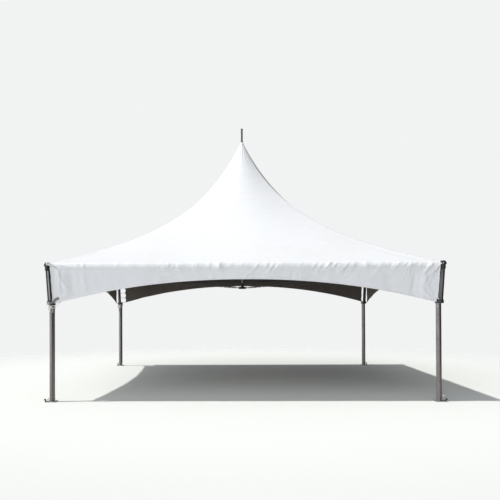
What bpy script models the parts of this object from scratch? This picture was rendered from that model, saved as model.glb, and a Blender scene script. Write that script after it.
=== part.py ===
"""Marquee tent: a 20 ft square high-peak frame tent with a floating mast on crossed cables.

Metres, +Z up. The origin is on the ground in the middle of the plan and the front is -Y.
Four diagonally set legs stand on staked base plates. A leaning corner post stands on each leg
and carries a corner fitting. Four eave beams join the fittings. Two pairs of crossed cables
carry the hub that the mast stands on, and the mast pushes the roof up into its peak.
"""

import math

import bmesh
import bpy
from mathutils import Matrix, Vector

GAP = 0.0003  # between pieces that touch
ROUND_SIDES = 20
SMALL_SIDES = 12

# Plan: half distances from the middle of the tent
LEG_HALF = 2.997
POST_FOOT_HALF = 3.026
POST_TOP_HALF = 3.052
CAP_HALF = 3.057
VALANCE_HALF = 3.060
ROOF_HALF = 3.035

# Heights
PLATE_T = 0.0095
COLLAR_Z = (1.510, 1.568)
FITTING_Z = (2.040, 2.165)
EAVE_Z = 2.160
APEX_Z = 4.767
TIP_Z = 5.046

# Base plate, stake and leg
PLATE_SIDE = 0.170
PLATE_OFFSET = 0.018  # outward along the diagonal from the leg's axis
PLATE_CORNER_R = 0.012
STAKE_HOLE_OFFSET = 0.060
STAKE_HOLE_R = 0.018
STAKE_R = 0.011
STAKE_HEAD_R = 0.018
STAKE_LENGTH = 0.062  # from the ground to the head's top, along the shank
STAKE_LEAN = math.radians(28)
LEG_SIDE = 0.0635
LEG_WALL = 0.003
LEG_CORNER = 0.004
GROOVE_PLACE = 0.018
GROOVE_W = 0.004
GROOVE_DEPTH = 0.002
SPIGOT_TOP = 0.130
SPIGOT_WALL = 0.004

# Collar and corner post
COLLAR_SIDE = 0.078
COLLAR_OUT = 0.068  # from the leg's axis to the collar's outer face
COLLAR_SEAT = 0.030  # how far the leg goes up into the collar
POST_SIDE = 0.050
POST_WALL = 0.0035
NOSE_W = 0.012
NOSE_OUT = 0.006

# Corner fitting
CAP_R = 0.037
BLOCK_SPAN = (2.962, 3.050)
BLOCK_Z = (2.050, 2.120)
LUG_T = 0.010
LUG_HEIGHT = 0.044
LUG_TIP = 0.020  # from the pin to the lug's tip
LUG_HOLE_R = 0.0057
CORNER_PIN = (-0.105, 2.080)  # from the leg's axis along the diagonal, and height

# Eave beam
BEAM_W = 0.049
BEAM_BOTTOM = 2.050
BEAM_CHAMFER = (0.0225, 0.018)
BEAM_WALL = 0.003

# Roof
SHEET_PLUMB = 0.005  # thickness of the roof, measured plumb
RING_R = 0.025
ROUND_R = 1.13 * ROOF_HALF
CORNER_CUT = 4.282  # from the middle to the cut corner of the roof, along the diagonal
CORNER_SHARPENING = 0.55
CURVE_RATE = 1.69
CURVE_POWER = 0.89
STRAIGHT_SHARE = 0.12
ROOF_ROWS = 14
ROOF_COLUMNS = 14
EDGE_ROWS = ((3.050, 2.152), (3.060, 2.135))  # half width and height, over the beam's edge

# Valances
VALANCE_T = 0.004
END_LEAN = 0.070
ARCH_DROP = 0.372
ARCH_POWER = 2.12
ARCH_TOP = {"front": 1.892, "right": 1.910, "back": 1.930, "left": 1.910}
# Half lengths to the left and right, seen from outside, and how far the skirt leans in per metre
VALANCE_ENDS = {
    "front": (2.990, 2.990), "right": (2.990, 2.930), "back": (2.975, 2.920), "left": (2.930, 2.990),
}
VALANCE_LEAN = {"front": 0.090, "right": 0.0, "back": 0.090, "left": 0.0}
VALANCE_COLUMNS = 20

# Mast, hub and crown
MAST_R = 0.021
MAST_WALL = 0.003
SOCKET_R = 0.0214
HUB_R = 0.027
HUB_PLATE_R = 0.045
HUB_Z = (1.814, 1.930)
HUB_FLOOR = 1.840
HUB_PIN = (0.085, 1.836)
CROWN_SOCKET = (0.040, 0.090)  # depths below the crown's rim of the socket's top and mouth
CROWN_R = 0.030
FINIAL_R = 0.0185
FINIAL_COLLAR_R = 0.0245
FINIAL_KNOB_R = 0.0215

# Crossed cables; the places are distances along a cable from its pin at the hub
WIRE_R = 0.005
SWAGE_R = 0.0085
SWAGE_LENGTH = 0.080
ROD_R = 0.006
ROD_LENGTH = 0.050
BARREL_R = 0.012
BARREL = (0.100, 0.310)
SHOULDER = 0.005  # length of each change of thickness
FORK_EMBED = 0.004
FORK_HALF_W = 0.0105
FORK_HALF_H = 0.012
FORK_BACK = 0.014
FORK_ROOT = (0.024, 0.034)
PIN_R = 0.005
PIN_HALF = 0.0145

CORNERS = {"front_left": 225, "front_right": 315, "back_right": 45, "back_left": 135}
SIDES = {"front": 0, "right": 90, "back": 180, "left": 270}

FINISHES = {
    "anodised aluminium": ((0.52, 0.52, 0.51), 0.38, 0.9),
    "dark cast fitting": ((0.035, 0.035, 0.038), 0.5, 0.3),
    "galvanised steel": ((0.48, 0.49, 0.50), 0.45, 0.9),
    "dark steel stake": ((0.05, 0.05, 0.052), 0.55, 0.7),
    "steel cable": ((0.42, 0.43, 0.44), 0.4, 0.9),
    "white coated cloth": ((0.86, 0.87, 0.88), 0.5, 0.0),
    "grey painted mast": ((0.16, 0.16, 0.18), 0.45, 0.4),
}


def clear_scene():
    for obj in list(bpy.data.objects):
        bpy.data.objects.remove(obj)


def finish(name):
    """The Principled material of one finish, made the first time it is asked for."""
    if name in bpy.data.materials:
        return bpy.data.materials[name]
    colour, roughness, metallic = FINISHES[name]
    material = bpy.data.materials.new(name)
    material.use_nodes = True
    shader = material.node_tree.nodes["Principled BSDF"]
    shader.inputs["Base Color"].default_value = (*colour, 1.0)
    shader.inputs["Roughness"].default_value = roughness
    shader.inputs["Metallic"].default_value = metallic
    material.diffuse_color = (*colour, 1.0)
    return material


def mesh_of(bm, name):
    mesh = bpy.data.meshes.new(name)
    bm.to_mesh(mesh)
    bm.free()
    return mesh


def evaluated_mesh(obj):
    """The object's mesh after its modifiers; the object itself is removed."""
    bpy.context.view_layer.update()
    graph = bpy.context.evaluated_depsgraph_get()
    mesh = bpy.data.meshes.new_from_object(obj.evaluated_get(graph))
    bpy.data.objects.remove(obj)
    return mesh


def welded(mesh):
    bm = bmesh.new()
    bm.from_mesh(mesh)
    bmesh.ops.remove_doubles(bm, verts=bm.verts, dist=0.00001)
    bmesh.ops.recalc_face_normals(bm, faces=bm.faces)
    bm.to_mesh(mesh)
    bm.free()
    return mesh


def box(name, low, high):
    bm = bmesh.new()
    size = [b - a for a, b in zip(low, high)]
    centre = [(a + b) / 2 for a, b in zip(low, high)]
    matrix = Matrix.Translation(centre) @ Matrix.Diagonal((*size, 1.0))
    bmesh.ops.create_cube(bm, size=1.0, matrix=matrix)
    return mesh_of(bm, name)


def rod(name, radius, start, end, sides=SMALL_SIDES):
    """A round bar from start to end."""
    start, end = Vector(start), Vector(end)
    bm = bmesh.new()
    turn = Vector((0, 0, 1)).rotation_difference(end - start).to_matrix().to_4x4()
    bmesh.ops.create_cone(
        bm, cap_ends=True, segments=sides, radius1=radius, radius2=radius,
        depth=(end - start).length, matrix=Matrix.Translation((start + end) / 2) @ turn,
    )
    return mesh_of(bm, name)


def turned(name, profile, sides=ROUND_SIDES):
    """A profile of (radius, height) points, from the top down its outer side, spun about Z."""
    mesh = bpy.data.meshes.new(name)
    points = [(radius, 0.0, height) for radius, height in profile]
    mesh.from_pydata(points, [(i, i + 1) for i in range(len(points) - 1)], [])
    obj = bpy.data.objects.new(name, mesh)
    cutters.objects.link(obj)
    screw = obj.modifiers.new("Screw", "SCREW")
    screw.axis = "Z"
    screw.angle = 2 * math.pi
    screw.steps = sides
    screw.render_steps = sides
    screw.use_merge_vertices = True
    screw.merge_threshold = 0.0001
    return welded(evaluated_mesh(obj))


def extruded(name, loops, low, high):
    """Flat closed outlines in X and Y, the later ones holes in the first, from low to high in Z."""
    curve = bpy.data.curves.new(name, "CURVE")
    curve.dimensions = "2D"
    curve.fill_mode = "BOTH"
    curve.extrude = (high - low) / 2
    for loop in loops:
        spline = curve.splines.new("POLY")
        spline.points.add(len(loop) - 1)
        for point, (x, y) in zip(spline.points, loop):
            point.co = (x, y, 0.0, 1.0)
        spline.use_cyclic_u = True
    obj = bpy.data.objects.new(name, curve)
    cutters.objects.link(obj)
    mesh = evaluated_mesh(obj)
    mesh.transform(Matrix.Translation((0, 0, (low + high) / 2)))
    return welded(mesh)


def combined(name, base, add=(), cut=()):
    """The base mesh with the meshes in add joined on and those in cut taken away."""
    work = bpy.data.objects.new(name, base)
    cutters.objects.link(work)
    for operation, tools in (("UNION", add), ("DIFFERENCE", cut)):
        for tool in tools:
            helper = bpy.data.objects.new(tool.name, tool)
            helper.hide_render = True
            helper.display_type = "WIRE"
            cutters.objects.link(helper)
            boolean = work.modifiers.new(tool.name, "BOOLEAN")
            boolean.operation = operation
            boolean.object = helper
    return evaluated_mesh(work)


def place(name, mesh, material, parent, location=(0, 0, 0), rotation=(0, 0, 0), smooth=False):
    """One node: the mesh with its finish, placed under its parent."""
    if not mesh.materials:
        mesh.materials.append(finish(material))
    if smooth:
        mesh.shade_smooth()
        mesh.set_sharp_from_angle(angle=math.radians(35))
    obj = bpy.data.objects.new(name, mesh)
    parts.objects.link(obj)
    obj.parent = parent
    obj.location = location
    obj.rotation_euler = rotation
    return obj


def frame(name, location, degrees):
    empty = bpy.data.objects.new(name, None)
    empty.empty_display_size = 0.2
    empty.location = location
    empty.rotation_euler = (0, 0, math.radians(degrees))
    parts.objects.link(empty)
    return empty


def circle(x, y, radius, sides=SMALL_SIDES):
    turns = [2 * math.pi * i / sides for i in range(sides)]
    return [(x + radius * math.cos(a), y + radius * math.sin(a)) for a in turns]


def square(side, cut=0.0):
    """A square about the origin, with its corners cut if cut is given."""
    half = side / 2
    corner = [(half, half - cut), (half - cut, half)] if cut else [(half, half)]
    points = []
    for quarter in range(4):
        c, s = round(math.cos(quarter * math.pi / 2)), round(math.sin(quarter * math.pi / 2))
        points += [(c * x - s * y, s * x + c * y) for x, y in corner]
    return points


def rounded_square(x, y, side, radius, steps=3):
    """A square with round corners, its sides along the diagonals of X and Y."""
    points = []
    reach = side / 2 - radius
    for quarter in range(4):
        middle = quarter * math.pi / 2 + math.pi / 4
        for i in range(steps + 1):
            a = middle + (i / steps - 0.5) * math.pi / 2
            corner = (math.sqrt(2) * reach * math.cos(middle), math.sqrt(2) * reach * math.sin(middle))
            px, py = corner[0] + radius * math.cos(a), corner[1] + radius * math.sin(a)
            turn = math.pi / 4
            points.append((
                x + px * math.cos(turn) - py * math.sin(turn),
                y + px * math.sin(turn) + py * math.cos(turn),
            ))
    return points


def grooved_square():
    """The leg's section: cut corners, and two shallow grooves along each face."""
    half = LEG_SIDE / 2
    face = [(half, -half + LEG_CORNER)]
    for middle in (-GROOVE_PLACE, GROOVE_PLACE):
        low, high = middle - GROOVE_W / 2, middle + GROOVE_W / 2
        face += [(half, low), (half - GROOVE_DEPTH, low), (half - GROOVE_DEPTH, high), (half, high)]
    face.append((half, half - LEG_CORNER))
    points = []
    for quarter in range(4):
        c, s = round(math.cos(quarter * math.pi / 2)), round(math.sin(quarter * math.pi / 2))
        points += [(c * x - s * y, s * x + c * y) for x, y in face]
    return points


def base_plate():
    """A square foot plate with a hole at each corner and the stub that the leg slides over."""
    hole = STAKE_HOLE_OFFSET * math.sqrt(2)
    holes = [
        circle(PLATE_OFFSET + hole * c, hole * s, STAKE_HOLE_R)
        for c, s in ((1, 0), (0, 1), (-1, 0), (0, -1))
    ]
    outline = rounded_square(PLATE_OFFSET, 0, PLATE_SIDE, PLATE_CORNER_R)
    plate = extruded("base_plate", [outline] + holes, 0.0, PLATE_T)
    side = LEG_SIDE - 2 * LEG_WALL - 2 * GAP
    stub = extruded("stub", [square(side), square(side - 2 * SPIGOT_WALL)], PLATE_T / 2, SPIGOT_TOP)
    return combined("base_plate", plate, add=[stub])


def ground_stake():
    """A mushroom-headed stake, leaning outward, cut off level with the ground."""
    profile = [
        (0.0, STAKE_LENGTH),
        (STAKE_HEAD_R * 0.6, STAKE_LENGTH - 0.002),
        (STAKE_HEAD_R, STAKE_LENGTH - 0.008),
        (STAKE_HEAD_R, STAKE_LENGTH - 0.014),
        (STAKE_R, STAKE_LENGTH - 0.018),
        (STAKE_R, -0.030),
        (0.0, -0.030),
    ]
    mesh = turned("ground_stake", profile, SMALL_SIDES)
    mesh.transform(Matrix.Rotation(STAKE_LEAN, 4, "Y"))
    bm = bmesh.new()
    bm.from_mesh(mesh)
    everything = bm.verts[:] + bm.edges[:] + bm.faces[:]
    cut = bmesh.ops.bisect_plane(
        bm, geom=everything, plane_co=(0, 0, 0), plane_no=(0, 0, 1), clear_inner=True,
    )
    rim = [e for e in cut["geom_cut"] if isinstance(e, bmesh.types.BMEdge)]
    bmesh.ops.edgeloop_fill(bm, edges=rim)
    bm.to_mesh(mesh)
    bm.free()
    return welded(mesh)


def stake_place():
    """The stake's place: its shank bears on the outer edge of the plate's outer hole."""
    hole_edge = PLATE_OFFSET + STAKE_HOLE_OFFSET * math.sqrt(2) + STAKE_HOLE_R
    shank = STAKE_R / math.cos(STAKE_LEAN) + PLATE_T * math.tan(STAKE_LEAN)
    return hole_edge - shank - GAP


def leg():
    inner = square(LEG_SIDE - 2 * LEG_WALL)
    top = COLLAR_Z[0] + COLLAR_SEAT - GAP
    return extruded("leg", [grooved_square(), inner], PLATE_T + GAP, top)


def leg_collar():
    """A cast cap over the leg's top, reaching outward under the post."""
    half = COLLAR_SIDE / 2
    outline = [(-half, -half), (COLLAR_OUT, -half), (COLLAR_OUT, half), (-half, half)]
    block = extruded("leg_collar", [outline], *COLLAR_Z)
    seat = LEG_SIDE / 2 + GAP
    below = COLLAR_Z[0] - 0.01
    recess = box("recess", (-seat, -seat, below), (seat, seat, COLLAR_Z[0] + COLLAR_SEAT))
    return combined("leg_collar", block, cut=[recess])


def corner_post():
    """A square post with a nose along its outer face, leaning outward between level ends."""
    half = POST_SIDE / 2
    outline = [
        (-half, -half), (half, -half), (half, -NOSE_W / 2), (half + NOSE_OUT, -NOSE_W / 2),
        (half + NOSE_OUT, NOSE_W / 2), (half, NOSE_W / 2), (half, half), (-half, half),
    ]
    foot, top = COLLAR_Z[1] + GAP, FITTING_Z[0] - GAP
    mesh = extruded("corner_post", [outline, square(POST_SIDE - 2 * POST_WALL)], foot, top)
    start = (POST_FOOT_HALF - LEG_HALF) * math.sqrt(2)
    end = (POST_TOP_HALF - LEG_HALF) * math.sqrt(2)
    lean = Matrix.Identity(4)
    lean[0][2] = (end - start) / (top - foot)
    lean[0][3] = start - foot * lean[0][2]
    mesh.transform(lean)
    return mesh


def lug(name, pin_x, pin_z, root_x):
    """A flat ear in the plane of X and Z, with its hole at the pin and its root at root_x."""
    half = LUG_HEIGHT / 2
    sign = 1 if pin_x > root_x else -1
    tip = pin_x + sign * LUG_TIP
    outline = [
        (root_x, pin_z - half), (pin_x, pin_z - half), (tip, pin_z - half / 2),
        (tip, pin_z + half / 2), (pin_x, pin_z + half), (root_x, pin_z + half),
    ]
    mesh = extruded(name, [outline, circle(pin_x, pin_z, LUG_HOLE_R)], -LUG_T / 2, LUG_T / 2)
    mesh.transform(Matrix.Rotation(math.pi / 2, 4, "X"))
    return mesh


def corner_fitting():
    """The casting over the post: a round cap, a block between the beams' ends and a cable lug."""
    cap_x = (CAP_HALF - LEG_HALF) * math.sqrt(2)
    low, high = FITTING_Z
    profile = [(0, high), (CAP_R - 0.006, high), (CAP_R, high - 0.006), (CAP_R, low), (0, low)]
    cap = turned("corner_fitting", profile)
    cap.transform(Matrix.Translation((cap_x, 0, 0)))
    block = box(
        "block",
        (BLOCK_SPAN[0], BLOCK_SPAN[0], BLOCK_Z[0]), (BLOCK_SPAN[1], BLOCK_SPAN[1], BLOCK_Z[1]),
    )
    to_corner = Matrix.Rotation(-math.pi / 4, 4, "Z") @ Matrix.Translation((-LEG_HALF, -LEG_HALF, 0))
    block.transform(to_corner)
    root = (BLOCK_SPAN[0] - LEG_HALF) * math.sqrt(2) + 0.012
    ear = lug("cable_lug", CORNER_PIN[0], CORNER_PIN[1], root)
    return combined("corner_fitting", cap, add=[block, ear])


def eave_beam():
    """A hollow beam from block to block, its upper outer edge cut to carry the roof's edge."""
    outer = VALANCE_HALF - VALANCE_T - GAP
    inner = outer - BEAM_W
    top = EAVE_Z - SHEET_PLUMB - 2 * GAP
    chamfer_w, chamfer_h = BEAM_CHAMFER
    outline = [
        (inner, BEAM_BOTTOM), (outer, BEAM_BOTTOM), (outer, top - chamfer_h),
        (outer - chamfer_w, top), (inner, top),
    ]
    bore = [
        (inner + BEAM_WALL, BEAM_BOTTOM + BEAM_WALL), (outer - BEAM_WALL, BEAM_BOTTOM + BEAM_WALL),
        (outer - BEAM_WALL, top - chamfer_h - BEAM_WALL), (outer - chamfer_w, top - BEAM_WALL),
        (inner + BEAM_WALL, top - BEAM_WALL),
    ]
    reach = BLOCK_SPAN[0] - GAP
    mesh = extruded("eave_beam", [outline, bore], -reach, reach)
    mesh.transform(Matrix(((0, 0, -1, 0), (-1, 0, 0, 0), (0, 1, 0, 0), (0, 0, 0, 1))))
    return mesh


def roof_height(reach):
    """Height of the roof at a share of the way from the peak to the eave."""
    fade = math.exp(-CURVE_RATE)
    curve = (math.exp(-CURVE_RATE * reach ** CURVE_POWER) - fade) / (1 - fade)
    share = (1 - STRAIGHT_SHARE) * curve + STRAIGHT_SHARE * (1 - reach)
    return EAVE_Z + (APEX_Z - EAVE_Z) * share


def plan_radius(angle, half):
    """Distance from the middle to the cut-cornered square of this half width."""
    cut = CORNER_CUT * half / VALANCE_HALF
    to_corner = math.pi / 4 - abs(angle)
    return min(half / math.cos(angle), cut / math.cos(to_corner))


def roof_radius(angle, reach):
    """Plan distance of the roof: round at the peak, growing square towards the eave."""
    sharp = reach ** CORNER_SHARPENING
    outline = (1 - sharp) * ROUND_R + sharp * plan_radius(angle, ROOF_HALF)
    return RING_R + reach * (outline - RING_R)


def roof_shares():
    return [(i / ROOF_ROWS) ** 1.5 for i in range(ROOF_ROWS + 1)]


def canopy_panel():
    """One quarter of the roof, between two hips, as a closed sheet of even plumb thickness."""
    corner = math.atan(CORNER_CUT * math.sqrt(2) / VALANCE_HALF - 1)
    inner_columns = ROOF_COLUMNS - 2
    angles = [
        math.atan((2 * i / inner_columns - 1) * math.tan(corner)) for i in range(inner_columns + 1)
    ]
    angles = [-math.pi / 4] + angles + [math.pi / 4]
    shares = roof_shares()
    rows = ROOF_ROWS + len(EDGE_ROWS)
    bm = bmesh.new()
    bmesh.ops.create_grid(bm, x_segments=ROOF_COLUMNS, y_segments=rows, size=0.5)
    for vert in bm.verts:
        column = round((vert.co.x + 0.5) * ROOF_COLUMNS)
        row = round((vert.co.y + 0.5) * rows)
        angle = angles[column]
        if row <= ROOF_ROWS:
            radius, height = roof_radius(angle, shares[row]), roof_height(shares[row])
        else:
            half, height = EDGE_ROWS[row - ROOF_ROWS - 1]
            radius = plan_radius(angle, half)
        vert.co = (radius * math.sin(angle), -radius * math.cos(angle), height)
        if column in (0, ROOF_COLUMNS):
            seam = math.copysign(GAP * 0.75 / math.sqrt(2), angle)
            vert.co += Vector((-seam, -abs(seam), 0))
    drop = bmesh.ops.extrude_face_region(bm, geom=bm.faces[:])
    lower = [v for v in drop["geom"] if isinstance(v, bmesh.types.BMVert)]
    bmesh.ops.translate(bm, verts=lower, vec=(0, 0, -SHEET_PLUMB))
    bmesh.ops.recalc_face_normals(bm, faces=bm.faces)
    return mesh_of(bm, "canopy_panel")


def valance(side):
    """A skirt under the eave, arched along its lower edge; some lean in below the beam."""
    left_end, right_end = VALANCE_ENDS[side]
    top = EDGE_ROWS[-1][1] - SHEET_PLUMB - GAP
    rows = 3
    bm = bmesh.new()
    bmesh.ops.create_grid(bm, x_segments=VALANCE_COLUMNS, y_segments=rows, size=0.5)
    for vert in bm.verts:
        across = vert.co.x * 2
        row = round((0.5 - vert.co.y) * rows)
        bottom = ARCH_TOP[side] - ARCH_DROP * abs(across) ** ARCH_POWER
        height = (top, BEAM_BOTTOM, (BEAM_BOTTOM + bottom) / 2, bottom)[row]
        below = max(0.0, BEAM_BOTTOM - height)
        reach = (left_end if across < 0 else right_end) - below * END_LEAN
        vert.co = (across * reach, -VALANCE_HALF + below * VALANCE_LEAN[side], height)
    back = bmesh.ops.extrude_face_region(bm, geom=bm.faces[:])
    inner = [v for v in back["geom"] if isinstance(v, bmesh.types.BMVert)]
    bmesh.ops.translate(bm, verts=inner, vec=(0, VALANCE_T, 0))
    bmesh.ops.recalc_face_normals(bm, faces=bm.faces)
    return mesh_of(bm, "valance_" + side)


def crown_points():
    """Radius and height of the crown's face, just under the roof's first rows."""
    points = []
    for reach in roof_shares()[:2]:
        radius = roof_radius(0.0, reach) * 0.99
        points.append((radius, roof_height(reach) - SHEET_PLUMB - 2 * GAP))
    return points


def mast_crown():
    """The cone that pushes the roof up, with a socket for the mast below."""
    (top_r, top_z), (rim_r, rim_z) = crown_points()
    seat, mouth = CROWN_SOCKET
    profile = [
        (0, top_z), (top_r, top_z), (rim_r, rim_z), (rim_r, rim_z - 0.010),
        (CROWN_R, rim_z - 0.030), (CROWN_R, rim_z - mouth), (SOCKET_R, rim_z - mouth),
        (SOCKET_R, rim_z - seat), (0, rim_z - seat),
    ]
    return turned("mast_crown", profile)


def mast_finial():
    foot = crown_points()[0][1] + GAP
    profile = [
        (0, TIP_Z), (FINIAL_KNOB_R * 0.7, TIP_Z), (FINIAL_KNOB_R, TIP_Z - 0.006),
        (FINIAL_KNOB_R, TIP_Z - 0.020), (FINIAL_R, TIP_Z - 0.026), (FINIAL_R, foot + 0.030),
        (FINIAL_COLLAR_R, foot + 0.022), (FINIAL_COLLAR_R, foot), (0, foot),
    ]
    return turned("mast_finial", profile)


def mast():
    top = crown_points()[1][1] - CROWN_SOCKET[0] - GAP
    foot = HUB_FLOOR + GAP
    bore = MAST_R - MAST_WALL
    profile = [(bore, top), (MAST_R, top), (MAST_R, foot), (bore, foot), (bore, top)]
    return turned("mast", profile)


def mast_hub():
    """A socket on a foot plate with four ears, one for each cable."""
    low, high = HUB_Z
    profile = [
        (0, HUB_FLOOR), (SOCKET_R, HUB_FLOOR), (SOCKET_R, high), (HUB_R, high),
        (HUB_R, low + 0.017), (HUB_PLATE_R, low + 0.012), (HUB_PLATE_R, low), (0, low),
    ]
    socket = turned("mast_hub", profile)
    ears = []
    for quarter in range(4):
        ear = lug("hub_lug", HUB_PIN[0], HUB_PIN[1], SOCKET_R + 0.003)
        ear.transform(Matrix.Rotation(quarter * math.pi / 2, 4, "Z"))
        ears.append(ear)
    return combined("mast_hub", socket, add=ears)


def cable_run():
    """Length and slope of a cable between its pins, in the plane of the mast and the corner."""
    far = LEG_HALF * math.sqrt(2) + CORNER_PIN[0]
    run, rise = far - HUB_PIN[0], CORNER_PIN[1] - HUB_PIN[1]
    return math.hypot(run, rise), math.atan2(rise, run)


def cross_cable():
    """A wire rope with a turnbuckle by the hub and a pinned fork at each end, along +X."""
    length, _ = cable_run()
    root = FORK_ROOT[0] + FORK_EMBED
    rod_end = BARREL[1] + SHOULDER + ROD_LENGTH
    near_swage = rod_end + SHOULDER
    near_wire = near_swage + SWAGE_LENGTH
    far_wire = length - root - SWAGE_LENGTH
    profile = [
        (0, length - root), (SWAGE_R, length - root), (SWAGE_R, far_wire),
        (WIRE_R, far_wire - SHOULDER), (WIRE_R, near_wire + SHOULDER), (SWAGE_R, near_wire),
        (SWAGE_R, near_swage), (ROD_R, rod_end), (ROD_R, BARREL[1] + SHOULDER),
        (BARREL_R, BARREL[1]), (BARREL_R, BARREL[0]), (ROD_R, BARREL[0] - SHOULDER),
        (ROD_R, root), (0, root),
    ]
    rope = turned("cross_cable", profile, SMALL_SIDES)
    rope.transform(Matrix.Rotation(math.pi / 2, 4, "Y"))
    slot = LUG_T / 2 + GAP
    outline = [
        (-FORK_BACK, -FORK_HALF_W), (FORK_ROOT[1], -FORK_HALF_W), (FORK_ROOT[1], FORK_HALF_W),
        (-FORK_BACK, FORK_HALF_W), (-FORK_BACK, slot), (FORK_ROOT[0], slot),
        (FORK_ROOT[0], -slot), (-FORK_BACK, -slot),
    ]
    add = []
    for place_x, turn in ((0.0, 0.0), (length, math.pi)):
        matrix = Matrix.Translation((place_x, 0, 0)) @ Matrix.Rotation(turn, 4, "Z")
        fork = extruded("fork", [outline], -FORK_HALF_H, FORK_HALF_H)
        fork.transform(matrix)
        pin = rod("fork_pin", PIN_R, (0, -PIN_HALF, 0), (0, PIN_HALF, 0))
        pin.transform(matrix)
        add += [fork, pin]
    return combined("cross_cable", rope, add=add)


def build_corners():
    meshes = [
        ("base_plate", base_plate(), "galvanised steel", False),
        ("leg", leg(), "anodised aluminium", False),
        ("leg_collar", leg_collar(), "dark cast fitting", False),
        ("corner_post", corner_post(), "anodised aluminium", False),
        ("corner_fitting", corner_fitting(), "dark cast fitting", True),
    ]
    stake = ground_stake()
    for corner, degrees in CORNERS.items():
        turn = math.radians(degrees)
        diagonal = LEG_HALF * math.sqrt(2)
        foot = (diagonal * math.cos(turn), diagonal * math.sin(turn), 0)
        parent = frame("corner_" + corner, foot, degrees)
        for name, mesh, material, smooth in meshes:
            place(f"{name}_{corner}", mesh, material, parent, smooth=smooth)
        at = (stake_place(), 0, 0)
        place(f"ground_stake_{corner}", stake, "dark steel stake", parent, at, smooth=True)


def build_sides():
    beam = eave_beam()
    panel = canopy_panel()
    for side, degrees in SIDES.items():
        parent = frame("side_" + side, (0, 0, 0), degrees)
        place(f"eave_beam_{side}", beam, "anodised aluminium", parent)
        place(f"canopy_{side}", panel, "white coated cloth", parent, smooth=True)
        place(f"valance_{side}", valance(side), "white coated cloth", parent)


def build_centre():
    middle = frame("mast_axis", (0, 0, 0), 45)
    place("mast", mast(), "anodised aluminium", middle, smooth=True)
    place("mast_hub", mast_hub(), "dark cast fitting", middle, smooth=True)
    place("mast_crown", mast_crown(), "galvanised steel", middle, smooth=True)
    place("mast_finial", mast_finial(), "grey painted mast", middle, smooth=True)
    rope = cross_cable()
    _, slope = cable_run()
    for corner, degrees in CORNERS.items():
        parent = frame("cable_" + corner, (0, 0, 0), degrees)
        at = (HUB_PIN[0], 0, HUB_PIN[1])
        place(f"cross_cable_{corner}", rope, "steel cable", parent, at, (0, -slope, 0), smooth=True)


clear_scene()
parts = bpy.data.collections.new("marquee_tent")
cutters = bpy.data.collections.new("cutters")
bpy.context.scene.collection.children.link(parts)
bpy.context.scene.collection.children.link(cutters)
build_corners()
build_sides()
build_centre()
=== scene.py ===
# %% [markdown]
# # A marquee tent with a high peak
#
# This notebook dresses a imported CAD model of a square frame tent, so that it can be rendered. The
# frame gives every place and size: legs, posts, beams, cables and mast are already in it. What is
# made here is what a plain solid can't show: one continuous roof sheet, skirts with folds and hems,
# ropes, straps and pins, and a finish for each surface.

# %% Load the frame
import math

import bmesh
import bpy
import numpy as np
from mathutils import Matrix, Vector


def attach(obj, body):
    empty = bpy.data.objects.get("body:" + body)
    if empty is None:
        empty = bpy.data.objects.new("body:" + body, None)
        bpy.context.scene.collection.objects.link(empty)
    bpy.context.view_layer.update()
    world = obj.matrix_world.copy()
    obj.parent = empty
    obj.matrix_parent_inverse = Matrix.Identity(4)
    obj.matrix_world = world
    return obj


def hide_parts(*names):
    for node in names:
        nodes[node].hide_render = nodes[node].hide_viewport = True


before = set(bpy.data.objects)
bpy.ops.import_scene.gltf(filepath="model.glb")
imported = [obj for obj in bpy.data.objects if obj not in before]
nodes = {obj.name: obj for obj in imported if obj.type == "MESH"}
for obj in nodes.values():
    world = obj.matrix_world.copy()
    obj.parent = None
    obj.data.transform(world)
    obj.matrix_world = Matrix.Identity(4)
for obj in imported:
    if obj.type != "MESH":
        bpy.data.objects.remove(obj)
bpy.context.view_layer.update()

# %% [markdown]
# ## The tent's measures
#
# The same named values as in the frame's own source. The front of the tent is -Y. A corner has its
# own directions: outward along the diagonal, and along the tangent, counter-clockwise from above.
# A side is worked out in the front's place and then turned about the tent's middle.

# %% Measures in metres
LEG_HALF = 2.997
LEG_SIDE_HALF = 0.0318
POST_FOOT_HALF = 3.026
POST_TOP_HALF = 3.052
POST_RISE = 0.472
CAP_HALF = 3.057
CAP_R = 0.037
COLLAR_Z = (1.510, 1.568)
COLLAR_D = (-0.039, 0.068)
COLLAR_T = 0.039
BEAM_BOTTOM = 2.050
BEAM_INNER = 3.0067
EAVE_Z = 2.160
APEX_Z = 4.767
RING_R = 0.025
ROOF_HALF = 3.035
ROUND_R = 1.13 * ROOF_HALF
CORNER_CUT = 4.282 / 3.060
CORNER_SHARPENING = 0.55
CURVE_RATE = 1.69
CURVE_POWER = 0.89
STRAIGHT_SHARE = 0.12
SKIRT_HALF = 3.0617
SKIRT_LEAN = {"front": 0.090, "right": 0.0, "back": 0.090, "left": 0.0}
SKIRT_ENDS = {
    "front": (3.014, 3.014), "right": (3.000, 2.900), "back": (2.985, 2.915), "left": (2.855, 3.000),
}
END_LEAN = 0.055
ARCH_DROP = {"front": 0.372, "right": 0.372, "back": 0.392, "left": 0.372}
ARCH_POWER = 2.12
ARCH_TOP = {"front": 1.892, "right": 1.910, "back": 1.954, "left": 1.910}
CLOTH_T = 0.0012

SIDES = {"front": 0, "right": 90, "back": 180, "left": 270}
CORNERS = {"front_left": 225, "front_right": 315, "back_right": 45, "back_left": 135}
CORNER_ENDS = {
    "front_left": (("front", -1), ("left", 1)), "front_right": (("right", -1), ("front", 1)),
    "back_right": (("back", -1), ("right", 1)), "back_left": (("left", -1), ("back", 1)),
}
print("eave at", EAVE_Z, "peak at", APEX_Z)

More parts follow.
